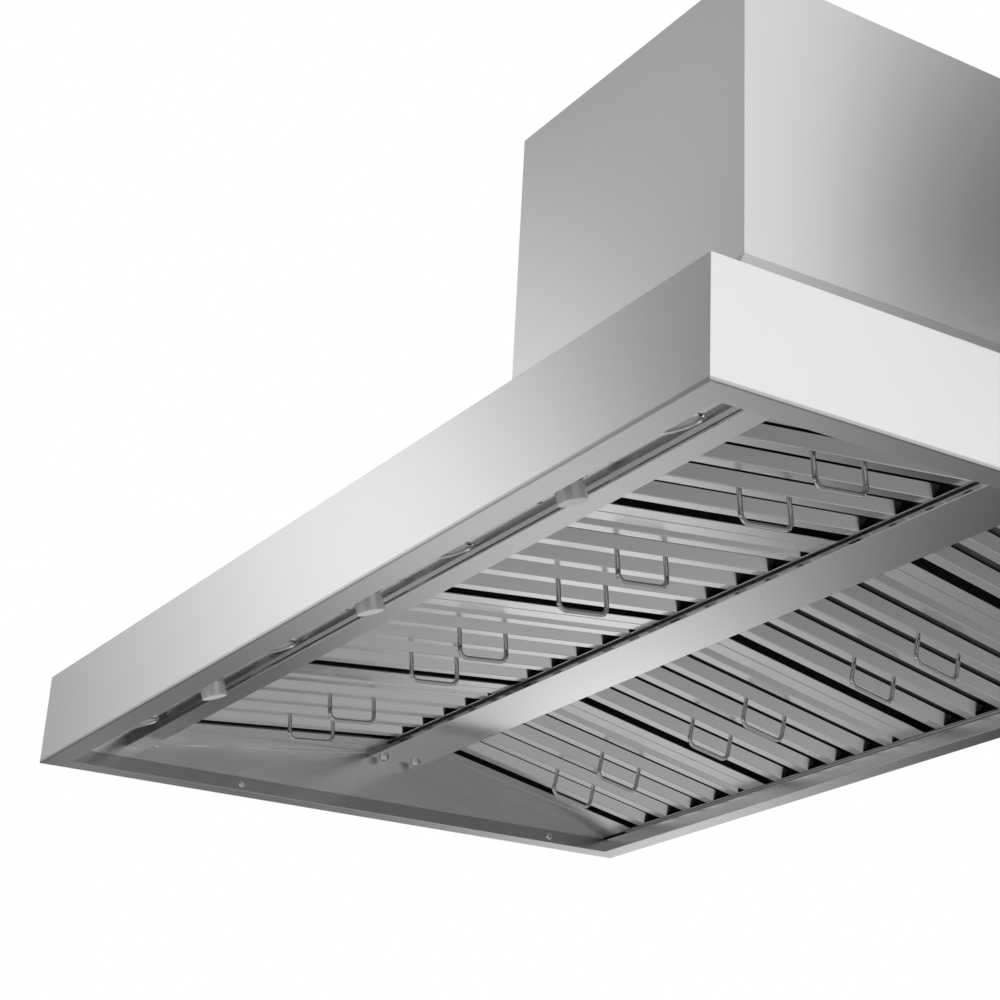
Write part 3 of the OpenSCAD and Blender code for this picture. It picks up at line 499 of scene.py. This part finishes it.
def bevel_all(piece, width, segments=2, angle=30):
    """Bevels every edge that turns by more than an angle in degrees."""
    select_only(piece)
    modifier = piece.modifiers.new("edges", "BEVEL")
    modifier.width = width
    modifier.segments = segments
    modifier.limit_method = "ANGLE"
    modifier.angle_limit = math.radians(angle)
    bpy.ops.object.modifier_apply(modifier=modifier.name)


def brush_uv(piece):
    """A box-projected map whose first axis runs along the brush marks."""
    while piece.data.uv_layers:
        piece.data.uv_layers.remove(piece.data.uv_layers[0])
    piece.data.uv_layers.new(name="brush")
    edit(piece)
    bpy.ops.mesh.select_all(action="SELECT")
    bpy.ops.uv.cube_project(cube_size=0.25, correct_aspect=False)
    done()


def smooth(piece, angle=32):
    """Smooth shading that stays flat on broad faces and turns in the small ones."""
    select_only(piece)
    bpy.ops.object.shade_smooth_by_angle(angle=math.radians(angle))
    weigh = piece.modifiers.new("weighted normals", "WEIGHTED_NORMAL")
    weigh.mode = "FACE_AREA"
    weigh.weight = 100
    weigh.keep_sharp = True
    bpy.ops.object.modifier_apply(modifier=weigh.name)


def finish_piece(piece, body, slot_name, material=None, replaces=()):
    """Shading, finish and body of a piece, and hides the CAD nodes that it stands for; the slot's name is
    the finish unless another is given.
    """
    smooth(piece)
    paint(piece, material or slot_name)
    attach(piece, body)
    if replaces:
        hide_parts(*replaces)


def folded_copy(node, name, body, slot_name, radius, material=None):
    """The usual treatment of a sheet: merged copy, rounded folds, brush map, finish."""
    piece = copy_of(node, name)
    round_folds(piece, radius)
    brush_uv(piece)
    finish_piece(piece, body, slot_name, material, (node,))


def rod(name, radius, low, high, sides=64):
    """A round bar along Z between two heights."""
    deselect()
    bpy.ops.mesh.primitive_cylinder_add(vertices=sides, radius=radius, depth=high - low,
                                        location=(0, 0, (low + high) / 2))
    piece = bpy.context.object
    piece.name = name
    apply_place(piece)
    return piece


def pick_faces(mesh, test):
    """Selects the faces that pass a test, and nothing else."""
    for f in mesh.faces:
        f.select_set(bool(test(f)))
    mesh.select_flush(True)


def reselect(piece, test):
    """In edit mode: face mode, and only the faces that pass the test."""
    bpy.ops.mesh.select_mode(type="FACE")
    bpy.ops.mesh.select_all(action="DESELECT")
    mesh = bmesh.from_edit_mesh(piece.data)
    mesh.normal_update()
    pick_faces(mesh, test)
    bmesh.update_edit_mesh(piece.data)


def step_in(radius, rise):
    """In edit mode: extrudes the picked round face on the Z axis to a new radius."""
    bpy.ops.mesh.extrude_region_move(TRANSFORM_OT_translate={"value": (0, 0, rise)})
    piece = bpy.context.object
    mesh = bmesh.from_edit_mesh(piece.data)
    rim = [v.co.xy.length for v in mesh.verts if v.select]
    height = next(v.co.z for v in mesh.verts if v.select)
    share = radius / max(rim)
    bpy.ops.transform.resize(value=(share, share, 1), center_override=(0, 0, height))


def join(first, *others):
    """Joins the others into the first piece."""
    select_only(first, *others)
    bpy.ops.object.join()


def duplicate(piece, name):
    """A copy with a mesh of its own."""
    copy = bpy.data.objects.new(name, piece.data.copy())
    bpy.context.scene.collection.objects.link(copy)
    return copy


def placed_copy(piece, place, turn):
    """A copy that is turned and moved, with its origin left where it was."""
    copy = duplicate(piece, piece.name + "_copy")
    copy.location = place
    copy.rotation_euler = turn
    bpy.context.view_layer.update()
    apply_place(copy)
    return copy


def panel_matrix(x):
    """Place on the light panel: Z out of the panel, Y down its slope."""
    rise = (CREASE_DEPTH - PANEL_LOW_DEPTH) * math.tan(PANEL_TILT)
    crease_y = FRONT + CREASE_DEPTH
    crease_z = BOTTOM + PANEL_LOW_HEIGHT + rise
    y = crease_y - ROW_BELOW_CREASE * math.cos(PANEL_TILT)
    z = crease_z - ROW_BELOW_CREASE * math.sin(PANEL_TILT)
    return Matrix.Translation((x, y, z)) @ Matrix.Rotation(math.pi + PANEL_TILT, 4, "X")


def to_panel(piece, x):
    """Moves a piece made at the origin to its place on the light panel."""
    piece.matrix_world = panel_matrix(x)
    bpy.context.view_layer.update()
    apply_place(piece)


def painted_mark(name, radius, stretch, place):
    """A thin round mark in the panel's own axes (mm), stretched and moved to its place."""
    mark = rod(name, radius * MM, -0.3 * MM, 0.1 * MM, 32)
    edit(mark)
    bpy.ops.mesh.select_all(action="SELECT")
    bpy.ops.transform.resize(value=stretch, center_override=(0, 0, 0))
    bpy.ops.transform.translate(value=(place[0] * MM, place[1] * MM, 0))
    done()
    return mark


# Shares of a button head: its rounding in radii, the socket's corners and how high its middle is
BUTTON_ROUNDING = 0.42
SOCKET_CORNERS = 0.6
SOCKET_HEIGHT = 0.95


def socket_screw(name, radius, height, shank_radius, shank_length, socket, rise=0.0):
    """A button-head screw that points up, with a hexagonal socket."""
    head = rod(name, radius, rise, rise + height, 48)
    edit(head)
    reselect(head, lambda f: f.calc_center_median().z > rise + height - 0.01 * MM)
    bpy.ops.mesh.bevel(offset=radius * BUTTON_ROUNDING, segments=6, profile=0.5, clamp_overlap=True)
    done()
    deselect()
    bpy.ops.mesh.primitive_cylinder_add(vertices=6, radius=socket * SOCKET_CORNERS, depth=height,
                                        location=(0, 0, rise + height * SOCKET_HEIGHT))
    tool = bpy.context.object
    apply_place(tool)
    select_only(head)
    cut = head.modifiers.new("socket", "BOOLEAN")
    cut.object = tool
    cut.operation = "DIFFERENCE"
    cut.solver = "EXACT"
    bpy.ops.object.modifier_apply(modifier=cut.name)
    bpy.data.objects.remove(tool)
    shank = rod("shank", shank_radius, -shank_length, rise + 0.05 * MM, 32)
    join(head, shank)
    return head


def split_upper_sheets(piece, name):
    """Moves the loose parts that lie higher than their neighbours into a second piece."""
    mesh = edit(piece)
    parts = loose_parts(mesh)
    steepness = filter_slope(piece)
    lows = [min(v.co.z - v.co.y * steepness for f in part for v in f.verts) for part in parts]
    middle = (min(lows) + max(lows)) / 2
    bpy.ops.mesh.select_mode(type="FACE")
    for part, low in zip(parts, lows):
        for f in part:
            f.select_set(low > middle)
    bmesh.update_edit_mesh(piece.data)
    bpy.ops.mesh.separate(type="SELECTED")
    done()
    upper = next(o for o in bpy.context.selected_objects if o is not piece)
    upper.name = name
    return upper


def loose_parts(mesh):
    """Groups of faces that hang together."""
    parts, seen = [], set()
    for start in mesh.faces:
        if start in seen:
            continue
        seen.add(start)
        part = [start]
        for f in part:
            for e in f.edges:
                for near in e.link_faces:
                    if near not in seen:
                        seen.add(near)
                        part.append(near)
        parts.append(part)
    return parts


def filter_slope(piece):
    """Rise per length along Y of a filter's plane: the front bank rises, the rear one falls."""
    (seat_depth, seat_height), (ridge_depth, ridge_height) = BANK_SEATS[piece.name.split("_")[0]]
    return (ridge_height - seat_height) / (ridge_depth - seat_depth)


# Stage


# Name, place, target, size and power of each softbox
LIGHTS = (
    ("front softbox", (-4.4, -3.6, 1.3), (-1.0, -0.9, 0.0), (3.2, 2.0), 2),
    ("right softbox", (3.2, 0.9, 0.9), (0.0, 0.9, 0.9), (3.4, 2.0), 4),
    ("top softbox", (0.5, -1.5, 4.0), (0.0, -0.5, 0.0), (3.0, 3.0), 3),
)
# Soft patches on the cards: centre along the card's two axes in metres, the two half widths,
# the turn in degrees and the tone
FLOOR_PATCHES = {
    "long strip at the rear left": (-7.0, 4.5, 3.5, 1.0, 140, 1.5),
    "left of the hood": (-3.0, 0.0, 1.25, 2.0, 0, 0.75),
    "far left": (-8.0, 1.0, 1.5, 1.0, 0, 0.6),
    "before the hood": (0.0, -2.0, 1.75, 1.75, 0, 0.85),
    "behind the hood": (0.25, 2.25, 1.25, 2.0, 0, 0.8),
    "right of the hood": (3.25, 1.25, 1.5, 1.5, 0, 0.35),
}
LEFT_PATCHES = {
    "low": (-4.25, 0.0, 2.0, 2.0, 0, 0.75),
    "middle": (-4.25, 2.25, 1.25, 2.5, -45, 0.8),
    "high": (-4.75, 4.75, 1.25, 2.75, 25, 0.55),
    "top": (-5.5, 6.5, 2.0, 2.0, 0, 0.25),
}
RIGHT_PATCHES = {
    "beside the chimney": (2.5, 4.25, 1.0, 2.5, -40, 0.8),
}
# Name, place, target, size and patch axes of each card that only reflections see
CARDS = (
    ("floor card", (-4, 3, -2.06), (-4, 3, 0), (18, 14), "XY", FLOOR_PATCHES),
    ("left card", (-6, -4.2, 3.0), (0, -4.2, 3.0), (10, 10), "YZ", LEFT_PATCHES),
    ("right card", (3.3, 5.6, 4.95), (0, 5.6, 4.95), (6.8, 6.1), "YZ", RIGHT_PATCHES),
)
FLOOR_HEIGHT = -2.1
FLOOR_SIZE = 24

# The photograph's view: place in metres, turn in degrees, shift and lens in frame widths
CAMERA_PLACE = (2.03606, -1.8418, -1.034)
CAMERA_TURN = (115.525912, -0.795362, 54.602204)
CAMERA_SHIFT = (-0.18009, -0.14001)
CAMERA_LENS = 2.13613
SENSOR_WIDTH = 36


def aim(thing, place, target):
    """Puts a lamp or card at its place and turns it to its target."""
    thing.location = place
    direction = Vector(target) - Vector(place)
    thing.rotation_euler = direction.to_track_quat("-Z", "Y").to_euler()


def softbox(name, place, target, size, power):
    """A rectangular lamp that the camera doesn't see."""
    data = bpy.data.lights.new(name, "AREA")
    data.shape = "RECTANGLE"
    data.size, data.size_y = size
    data.energy = power
    light = bpy.data.objects.new(name, data)
    bpy.context.scene.collection.objects.link(light)
    aim(light, place, target)
    light.visible_camera = False


def card(name, place, target, size, axes, patches):
    """A card with soft bright patches that the camera, shadows and diffuse light don't see."""
    deselect()
    bpy.ops.mesh.primitive_plane_add(size=1)
    plane = bpy.context.object
    plane.name = name
    aim(plane, place, target)
    plane.scale = (size[0], size[1], 1)
    material = bpy.data.materials.new(name)
    material.use_nodes = True
    tree = material.node_tree
    tree.nodes.clear()
    output = tree.nodes.new("ShaderNodeOutputMaterial")
    glow = tree.nodes.new("ShaderNodeEmission")
    tree.links.new(glow.outputs["Emission"], output.inputs["Surface"])
    split = add(tree, "ShaderNodeSeparateXYZ")
    tree.links.new(add(tree, "ShaderNodeNewGeometry").outputs["Position"], split.inputs[0])
    flat = add(tree, "ShaderNodeCombineXYZ")
    for socket, axis in zip(flat.inputs, axes):
        tree.links.new(split.outputs[axis], socket)
    total = None
    for patch in patches.values():
        bell = soft_patch(tree, flat.outputs[0], patch)
        total = bell if total is None else math_node(tree, "ADD", total, bell)
    tree.links.new(total, glow.inputs["Strength"])
    plane.data.materials.append(material)
    plane.visible_camera = False
    plane.visible_shadow = False
    plane.visible_diffuse = False


def soft_patch(tree, place, patch):
    """Brightness of one elliptical patch that falls off like a bell."""
    u, v, along, across, turn, tone = patch
    mapping = add(tree, "ShaderNodeMapping", vector_type="TEXTURE")
    mapping.inputs["Location"].default_value = (u, v, 0)
    mapping.inputs["Rotation"].default_value = (0, 0, math.radians(turn))
    mapping.inputs["Scale"].default_value = (along, across, 1)
    tree.links.new(place, mapping.inputs["Vector"])
    square = add(tree, "ShaderNodeVectorMath", operation="DOT_PRODUCT")
    for socket in square.inputs[:2]:
        tree.links.new(mapping.outputs["Vector"], socket)
    bell = math_node(tree, "EXPONENT", math_node(tree, "MULTIPLY", square.outputs["Value"], -1.0))
    return math_node(tree, "MULTIPLY", bell, tone)


def make_floor():
    """A wide pale floor below the hood."""
    deselect()
    bpy.ops.mesh.primitive_plane_add(size=FLOOR_SIZE, location=(0, 0, FLOOR_HEIGHT))
    floor = bpy.context.object
    floor.name = "floor"
    material, _, shader = new_material("pale floor")
    shader.inputs["Base Color"].default_value = (0.8, 0.8, 0.8, 1)
    shader.inputs["Roughness"].default_value = 0.9
    floor.data.materials.append(material)


def make_camera(scene):
    """The camera at the photograph's viewing angle."""
    data = bpy.data.cameras.new("camera")
    camera = bpy.data.objects.new("camera", data)
    scene.collection.objects.link(camera)
    data.sensor_width = SENSOR_WIDTH
    data.lens = SENSOR_WIDTH * CAMERA_LENS
    data.shift_x, data.shift_y = CAMERA_SHIFT
    data.clip_end = 100
    camera.location = CAMERA_PLACE
    camera.rotation_euler = [math.radians(a) for a in CAMERA_TURN]
    scene.camera = camera


def make_world(scene):
    """White where the camera or a reflection sees it, softer as a light."""
    world = bpy.data.worlds.new("studio")
    scene.world = world
    world.use_nodes = True
    tree = world.node_tree
    tree.nodes.clear()
    output = tree.nodes.new("ShaderNodeOutputWorld")
    seen = add(tree, "ShaderNodeBackground", Color=(1, 1, 1, 1), Strength=1.0)
    fill = add(tree, "ShaderNodeBackground", Color=(1, 1, 1, 1), Strength=0.7)
    path = add(tree, "ShaderNodeLightPath")
    choice = math_node(tree, "MAXIMUM", path.outputs["Is Camera Ray"],
                       math_node(tree, "MAXIMUM", path.outputs["Is Glossy Ray"],
                                 path.outputs["Is Transmission Ray"]))
    mix = add(tree, "ShaderNodeMixShader")
    tree.links.new(choice, mix.inputs[0])
    tree.links.new(fill.outputs[0], mix.inputs[1])
    tree.links.new(seen.outputs[0], mix.inputs[2])
    tree.links.new(mix.outputs[0], output.inputs["Surface"])


# Operators


class HOOD_OT_canopy(bpy.types.Operator):
    """Band, roof and back panel with rounded folds"""

    bl_idname = "hood.canopy"
    bl_label = "Canopy"

    def execute(self, context):
        radius = context.scene.hood_sizes.fold_radius
        folded_copy("canopy_band", "band_sheet", "hood", "canopy_steel", 1.5 * radius)
        folded_copy("canopy_roof", "roof_sheet", "hood", "canopy_steel", radius)
        folded_copy("back_panel", "back_sheet", "hood", "canopy_steel", radius)
        return {"FINISHED"}


class HOOD_OT_chimney(bpy.types.Operator):
    """Chimney cover with rounded corners"""

    bl_idname = "hood.chimney"
    bl_label = "Chimney"

    def execute(self, context):
        folded_copy("chimney_cover", "chimney_sheet", "hood", "canopy_steel",
                    2 * context.scene.hood_sizes.fold_radius)
        return {"FINISHED"}


class HOOD_OT_liners(bpy.types.Operator):
    """Inner panels, rails and the centre bar"""

    bl_idname = "hood.liners"
    bl_label = "Liners and rails"

    def execute(self, context):
        radius = context.scene.hood_sizes.fold_radius * 0.8
        for node in ("end_liner_left", "end_liner_right", "light_panel", "front_filter_rail",
                     "rear_filter_rail", "centre_bar"):
            material = "liner_steel" if "liner" in node else "panel_steel"
            folded_copy(node, node + "_sheet", "hood", "canopy_steel", radius, material)
        return {"FINISHED"}


class HOOD_OT_filters(bpy.types.Operator):
    """Frames and baffles of the eight filters"""

    bl_idname = "hood.filters"
    bl_label = "Baffle filters"

    def execute(self, context):
        sizes = context.scene.hood_sizes
        for name in FILTERS:
            folded_copy(name + "_frame", name + "_frame_sheet", name, "filter_steel", sizes.baffle_radius)
            lower = copy_of(name + "_baffles", name + "_baffle_sheets")
            round_folds(lower, sizes.baffle_radius)
            upper = split_upper_sheets(lower, name + "_upper_baffle_sheets")
            brush_uv(lower)
            finish_piece(lower, name, "filter_steel", None, (name + "_baffles",))
            # The upper baffles get near-black steel: painted shade for the dark inside behind the slots
            finish_piece(upper, name, "filter_steel", "filter_inner")
        return {"FINISHED"}


KNOB_RADIUS = 15.3 * MM
KNOB_LOW = 2 * MM
KNOB_HIGH = 19 * MM
# The face's steps inwards: share of the radius and rise in mm
KNOB_STEPS = ((0.99, 0.3), (0.955, 0.35), (0.93, -0.25), (0.66, 0.1), (0.3, 0.05))
HOLLOW_RADIUS = 11 * MM
HOLLOW_DEPTH = 7 * MM
STEM_RADIUS = 3 * MM
STEM_LENGTH = 14 * MM


def turned_knob(name):
    """A knob at the origin with its stem, pointing up."""
    knob = rod(name, KNOB_RADIUS, KNOB_LOW, KNOB_HIGH, 96)
    edit(knob)
    reselect(knob, lambda f: f.calc_center_median().z > KNOB_HIGH - 0.1 * MM and f.normal.z > 0.99)
    for share, rise in KNOB_STEPS:
        step_in(share * KNOB_RADIUS, rise * MM)
    reselect(knob, lambda f: f.calc_center_median().z < KNOB_LOW + 0.1 * MM and f.normal.z < -0.99)
    step_in(HOLLOW_RADIUS, 0)
    step_in(HOLLOW_RADIUS, HOLLOW_DEPTH)
    done()
    stem = rod("stem", STEM_RADIUS, -STEM_LENGTH, KNOB_LOW + HOLLOW_DEPTH + 0.02 * MM, 48)
    bevel_all(stem, 0.3 * MM)
    join(knob, stem)
    return knob


class HOOD_OT_knobs(bpy.types.Operator):
    """Turned knobs with a chamfered, slightly domed face, a hollow back and a stem"""

    bl_idname = "hood.knobs"
    bl_label = "Knobs"

    def execute(self, context):
        for name, x in KNOB_XS.items():
            knob = turned_knob(name + "_turned")
            to_panel(knob, x)
            finish_piece(knob, name, "bright_steel", "knob_steel", (name,))
        return {"FINISHED"}


# Marks beside each knob, in mm: radius, stretch, and place across and down from its centre
MARKS = {
    "tick": (0.9, (2.2, 1, 1), (20, -7.5)),
    "dot": (2.4, (1.6, 1, 1), (-66, -10)),
    "line": (0.5, (1, 20, 1), (61, -13)),
}


class HOOD_OT_marks(bpy.types.Operator):
    """Plain painted marks on the panel beside the knobs"""

    bl_idname = "hood.marks"
    bl_label = "Panel marks"

    def execute(self, context):
        marks = []
        for x in KNOB_XS.values():
            group = [painted_mark(name, *values) for name, values in MARKS.items()]
            join(*group)
            to_panel(group[0], x)
            marks.append(group[0])
        join(*marks)
        marks[0].name = "panel_marks"
        finish_piece(marks[0], "hood", "black_paint")
        return {"FINISHED"}


LENS_RADIUS = 23.7 * MM
LENS_BACK = -3.0 * MM
LENS_FACE = -1.1 * MM
PRISM_COUNT = 18
PRISM_FIELD = 46 * MM


def prismatic_lens():
    """A round lens at the origin with a field of small prisms on its face."""
    lens = rod("lens", LENS_RADIUS, LENS_BACK, LENS_FACE, 96)
    bevel_all(lens, 0.3 * MM)
    deselect()
    bpy.ops.mesh.primitive_grid_add(x_subdivisions=PRISM_COUNT, y_subdivisions=PRISM_COUNT,
                                    size=PRISM_FIELD, location=(0, 0, LENS_FACE - 0.02 * MM))
    prisms = bpy.context.object
    edit(prisms)
    reselect(prisms, lambda f: f.calc_center_median().xy.length > 22 * MM)
    bpy.ops.mesh.delete(type="FACE")
    reselect(prisms, lambda f: True)
    bpy.ops.mesh.inset(thickness=0.75 * MM, depth=0.45 * MM, use_individual=True)
    done()
    bevel_all(prisms, 0.12 * MM, 1, 20)
    join(lens, prisms)
    return lens


class HOOD_OT_lights(bpy.types.Operator):
    """Lenses with raised prisms inside the bezels"""

    bl_idname = "hood.lights"
    bl_label = "Lights"

    def execute(self, context):
        first = prismatic_lens()
        for i, x in enumerate(LIGHT_XS):
            lens = duplicate(first, f"light_lens_{i + 1}")
            to_panel(lens, x)
            finish_piece(lens, "hood", "lens_glass", None, ("light_lenses",) if i == 0 else ())
        bpy.data.objects.remove(first)
        return {"FINISHED"}


# Side screws: place along Y and height above the underside
SIDE_SCREWS = ((FRONT + 278 * MM, 9 * MM), (-134 * MM, 9 * MM), (FRONT + 147.6 * MM, 43 * MM))
# Chimney screws: two heights in the bracket, which starts this far below the chimney's top
CHIMNEY_HALF_WIDTH = 264.5 * MM
BRACKET_BELOW_TOP = 60 * MM
BRACKET_SCREWS = (7.5 * MM, 22.5 * MM)
# Bolts of the centre bar: distance from the lips, the bar's middle, half their distance, height
BOLT_INSET = 18 * MM
BAR_DEPTH = 513 * MM
BOLT_HALF_PITCH = 26 * MM
BAR_HEIGHT = 79.5 * MM
WASHER_THICKNESS = 1.4 * MM
SHANK_RADIUS = 2.4 * MM
SHANK_LENGTH = 9 * MM


def screws_at_places():
    """The side screws and the chimney's screws as one piece."""
    screw = socket_screw("screw", 5 * MM, 3.4 * MM, SHANK_RADIUS, SHANK_LENGTH, 3 * MM)
    screws = []
    for side in (-1, 1):
        for y, height in SIDE_SCREWS:
            inwards = (0, math.radians(-90 * side), 0)
            screws.append(placed_copy(screw, (side * LIP_X, y, BOTTOM + height), inwards))
    for side in (-1, 1):
        for height in BRACKET_SCREWS:
            place = (side * CHIMNEY_HALF_WIDTH, -SHEET - 9 * MM, TOP - BRACKET_BELOW_TOP + height)
            screws.append(placed_copy(screw, place, (0, math.radians(90 * side), 0)))
    join(*screws)
    bpy.data.objects.remove(screw)
    return screws[0]


def bolts_at_places():
    """The centre bar's four bolts with their washers as one piece."""
    bolt = socket_screw("bolt", 6.5 * MM, 4.4 * MM, SHANK_RADIUS, SHANK_LENGTH, 4 * MM,
                        rise=WASHER_THICKNESS)
    washer = rod("washer", 8 * MM, 0, WASHER_THICKNESS, 64)
    bevel_all(washer, 0.3 * MM)
    join(bolt, washer)
    xs = (BOLT_INSET - LIP_X, LIP_X - BOLT_INSET)
    ys = (FRONT + BAR_DEPTH - BOLT_HALF_PITCH, FRONT + BAR_DEPTH + BOLT_HALF_PITCH)
    bolts = [placed_copy(bolt, (x, y, BOTTOM + BAR_HEIGHT), (math.pi, 0, 0)) for x in xs for y in ys]
    join(*bolts)
    bpy.data.objects.remove(bolt)
    return bolts[0]


class HOOD_OT_fasteners(bpy.types.Operator):
    """Button-head screws and bolts with a hexagonal socket"""

    bl_idname = "hood.fasteners"
    bl_label = "Fasteners"

    def execute(self, context):
        screws = screws_at_places()
        screws.name = "side_screws"
        finish_piece(screws, "hood", "bright_steel", None, ("cover_screws",))
        bolts = bolts_at_places()
        bolts.name = "bar_bolt_set"
        finish_piece(bolts, "hood", "bright_steel", None, ("bar_bolts",))
        return {"FINISHED"}


class HOOD_OT_finishes(bpy.types.Operator):
    """Finishes on the frame's own nodes that need no new shape"""

    bl_idname = "hood.finishes"
    bl_label = "Finishes"

    def execute(self, context):
        record = {s["node"]: s["material_slot"] for s in frame["record"]["subparts"]}
        for name, node in frame["nodes"].items():
            if node.hide_render:
                continue
            material = record[name]
            # Steel nodes that no new piece replaces get darker steel as painted shade of the hood's inside
            if material in ("canopy_steel", "filter_steel"):
                material = "dark_steel"
            if name.endswith("_handles"):
                material = "wire_steel"
            node.data.materials.clear()
            node.data.materials.append(MATERIALS[material])
            select_only(node)
            bpy.ops.object.shade_smooth_by_angle(angle=math.radians(28))
        return {"FINISHED"}


class HOOD_OT_stage(bpy.types.Operator):
    """Floor, background, studio lights and the camera"""

    bl_idname = "hood.stage"
    bl_label = "Stage"

    def execute(self, context):
        scene = context.scene
        scene.view_settings.view_transform = "Standard"
        make_world(scene)
        make_floor()
        for values in LIGHTS:
            softbox(*values)
        for values in CARDS:
            card(*values)
        make_camera(scene)
        return {"FINISHED"}


# Panel and start


OPERATORS = (HOOD_OT_canopy, HOOD_OT_chimney, HOOD_OT_liners, HOOD_OT_filters, HOOD_OT_knobs,
             HOOD_OT_marks, HOOD_OT_lights, HOOD_OT_fasteners, HOOD_OT_finishes, HOOD_OT_stage)


class HOOD_PT_panel(bpy.types.Panel):
    """Lists the hood's sizes, colours and pieces"""

    bl_label = "Range Hood"
    bl_idname = "HOOD_PT_panel"
    bl_space_type = "VIEW_3D"
    bl_region_type = "UI"
    bl_category = "Range Hood"

    def draw(self, context):
        layout = self.layout
        for name in HoodSizes.__annotations__:
            layout.prop(context.scene.hood_sizes, name)
        for name in HoodColours.__annotations__:
            layout.prop(context.scene.hood_colours, name)
        for operator in OPERATORS:
            layout.operator(operator.bl_idname)


CLASSES = (HoodSizes, HoodColours, *OPERATORS, HOOD_PT_panel)


def register():
    for c in CLASSES:
        bpy.utils.register_class(c)
    bpy.types.Scene.hood_sizes = bpy.props.PointerProperty(type=HoodSizes)
    bpy.types.Scene.hood_colours = bpy.props.PointerProperty(type=HoodColours)


def unregister():
    del bpy.types.Scene.hood_colours
    del bpy.types.Scene.hood_sizes
    for c in reversed(CLASSES):
        bpy.utils.unregister_class(c)


def main():
    register()
    make_materials()
    bpy.ops.hood.canopy()
    bpy.ops.hood.chimney()
    bpy.ops.hood.liners()
    bpy.ops.hood.filters()
    bpy.ops.hood.knobs()
    bpy.ops.hood.marks()
    bpy.ops.hood.lights()
    bpy.ops.hood.fasteners()
    bpy.ops.hood.finishes()
    bpy.ops.hood.stage()
    bpy.context.view_layer.update()


if __name__ == "__main__":
    main()
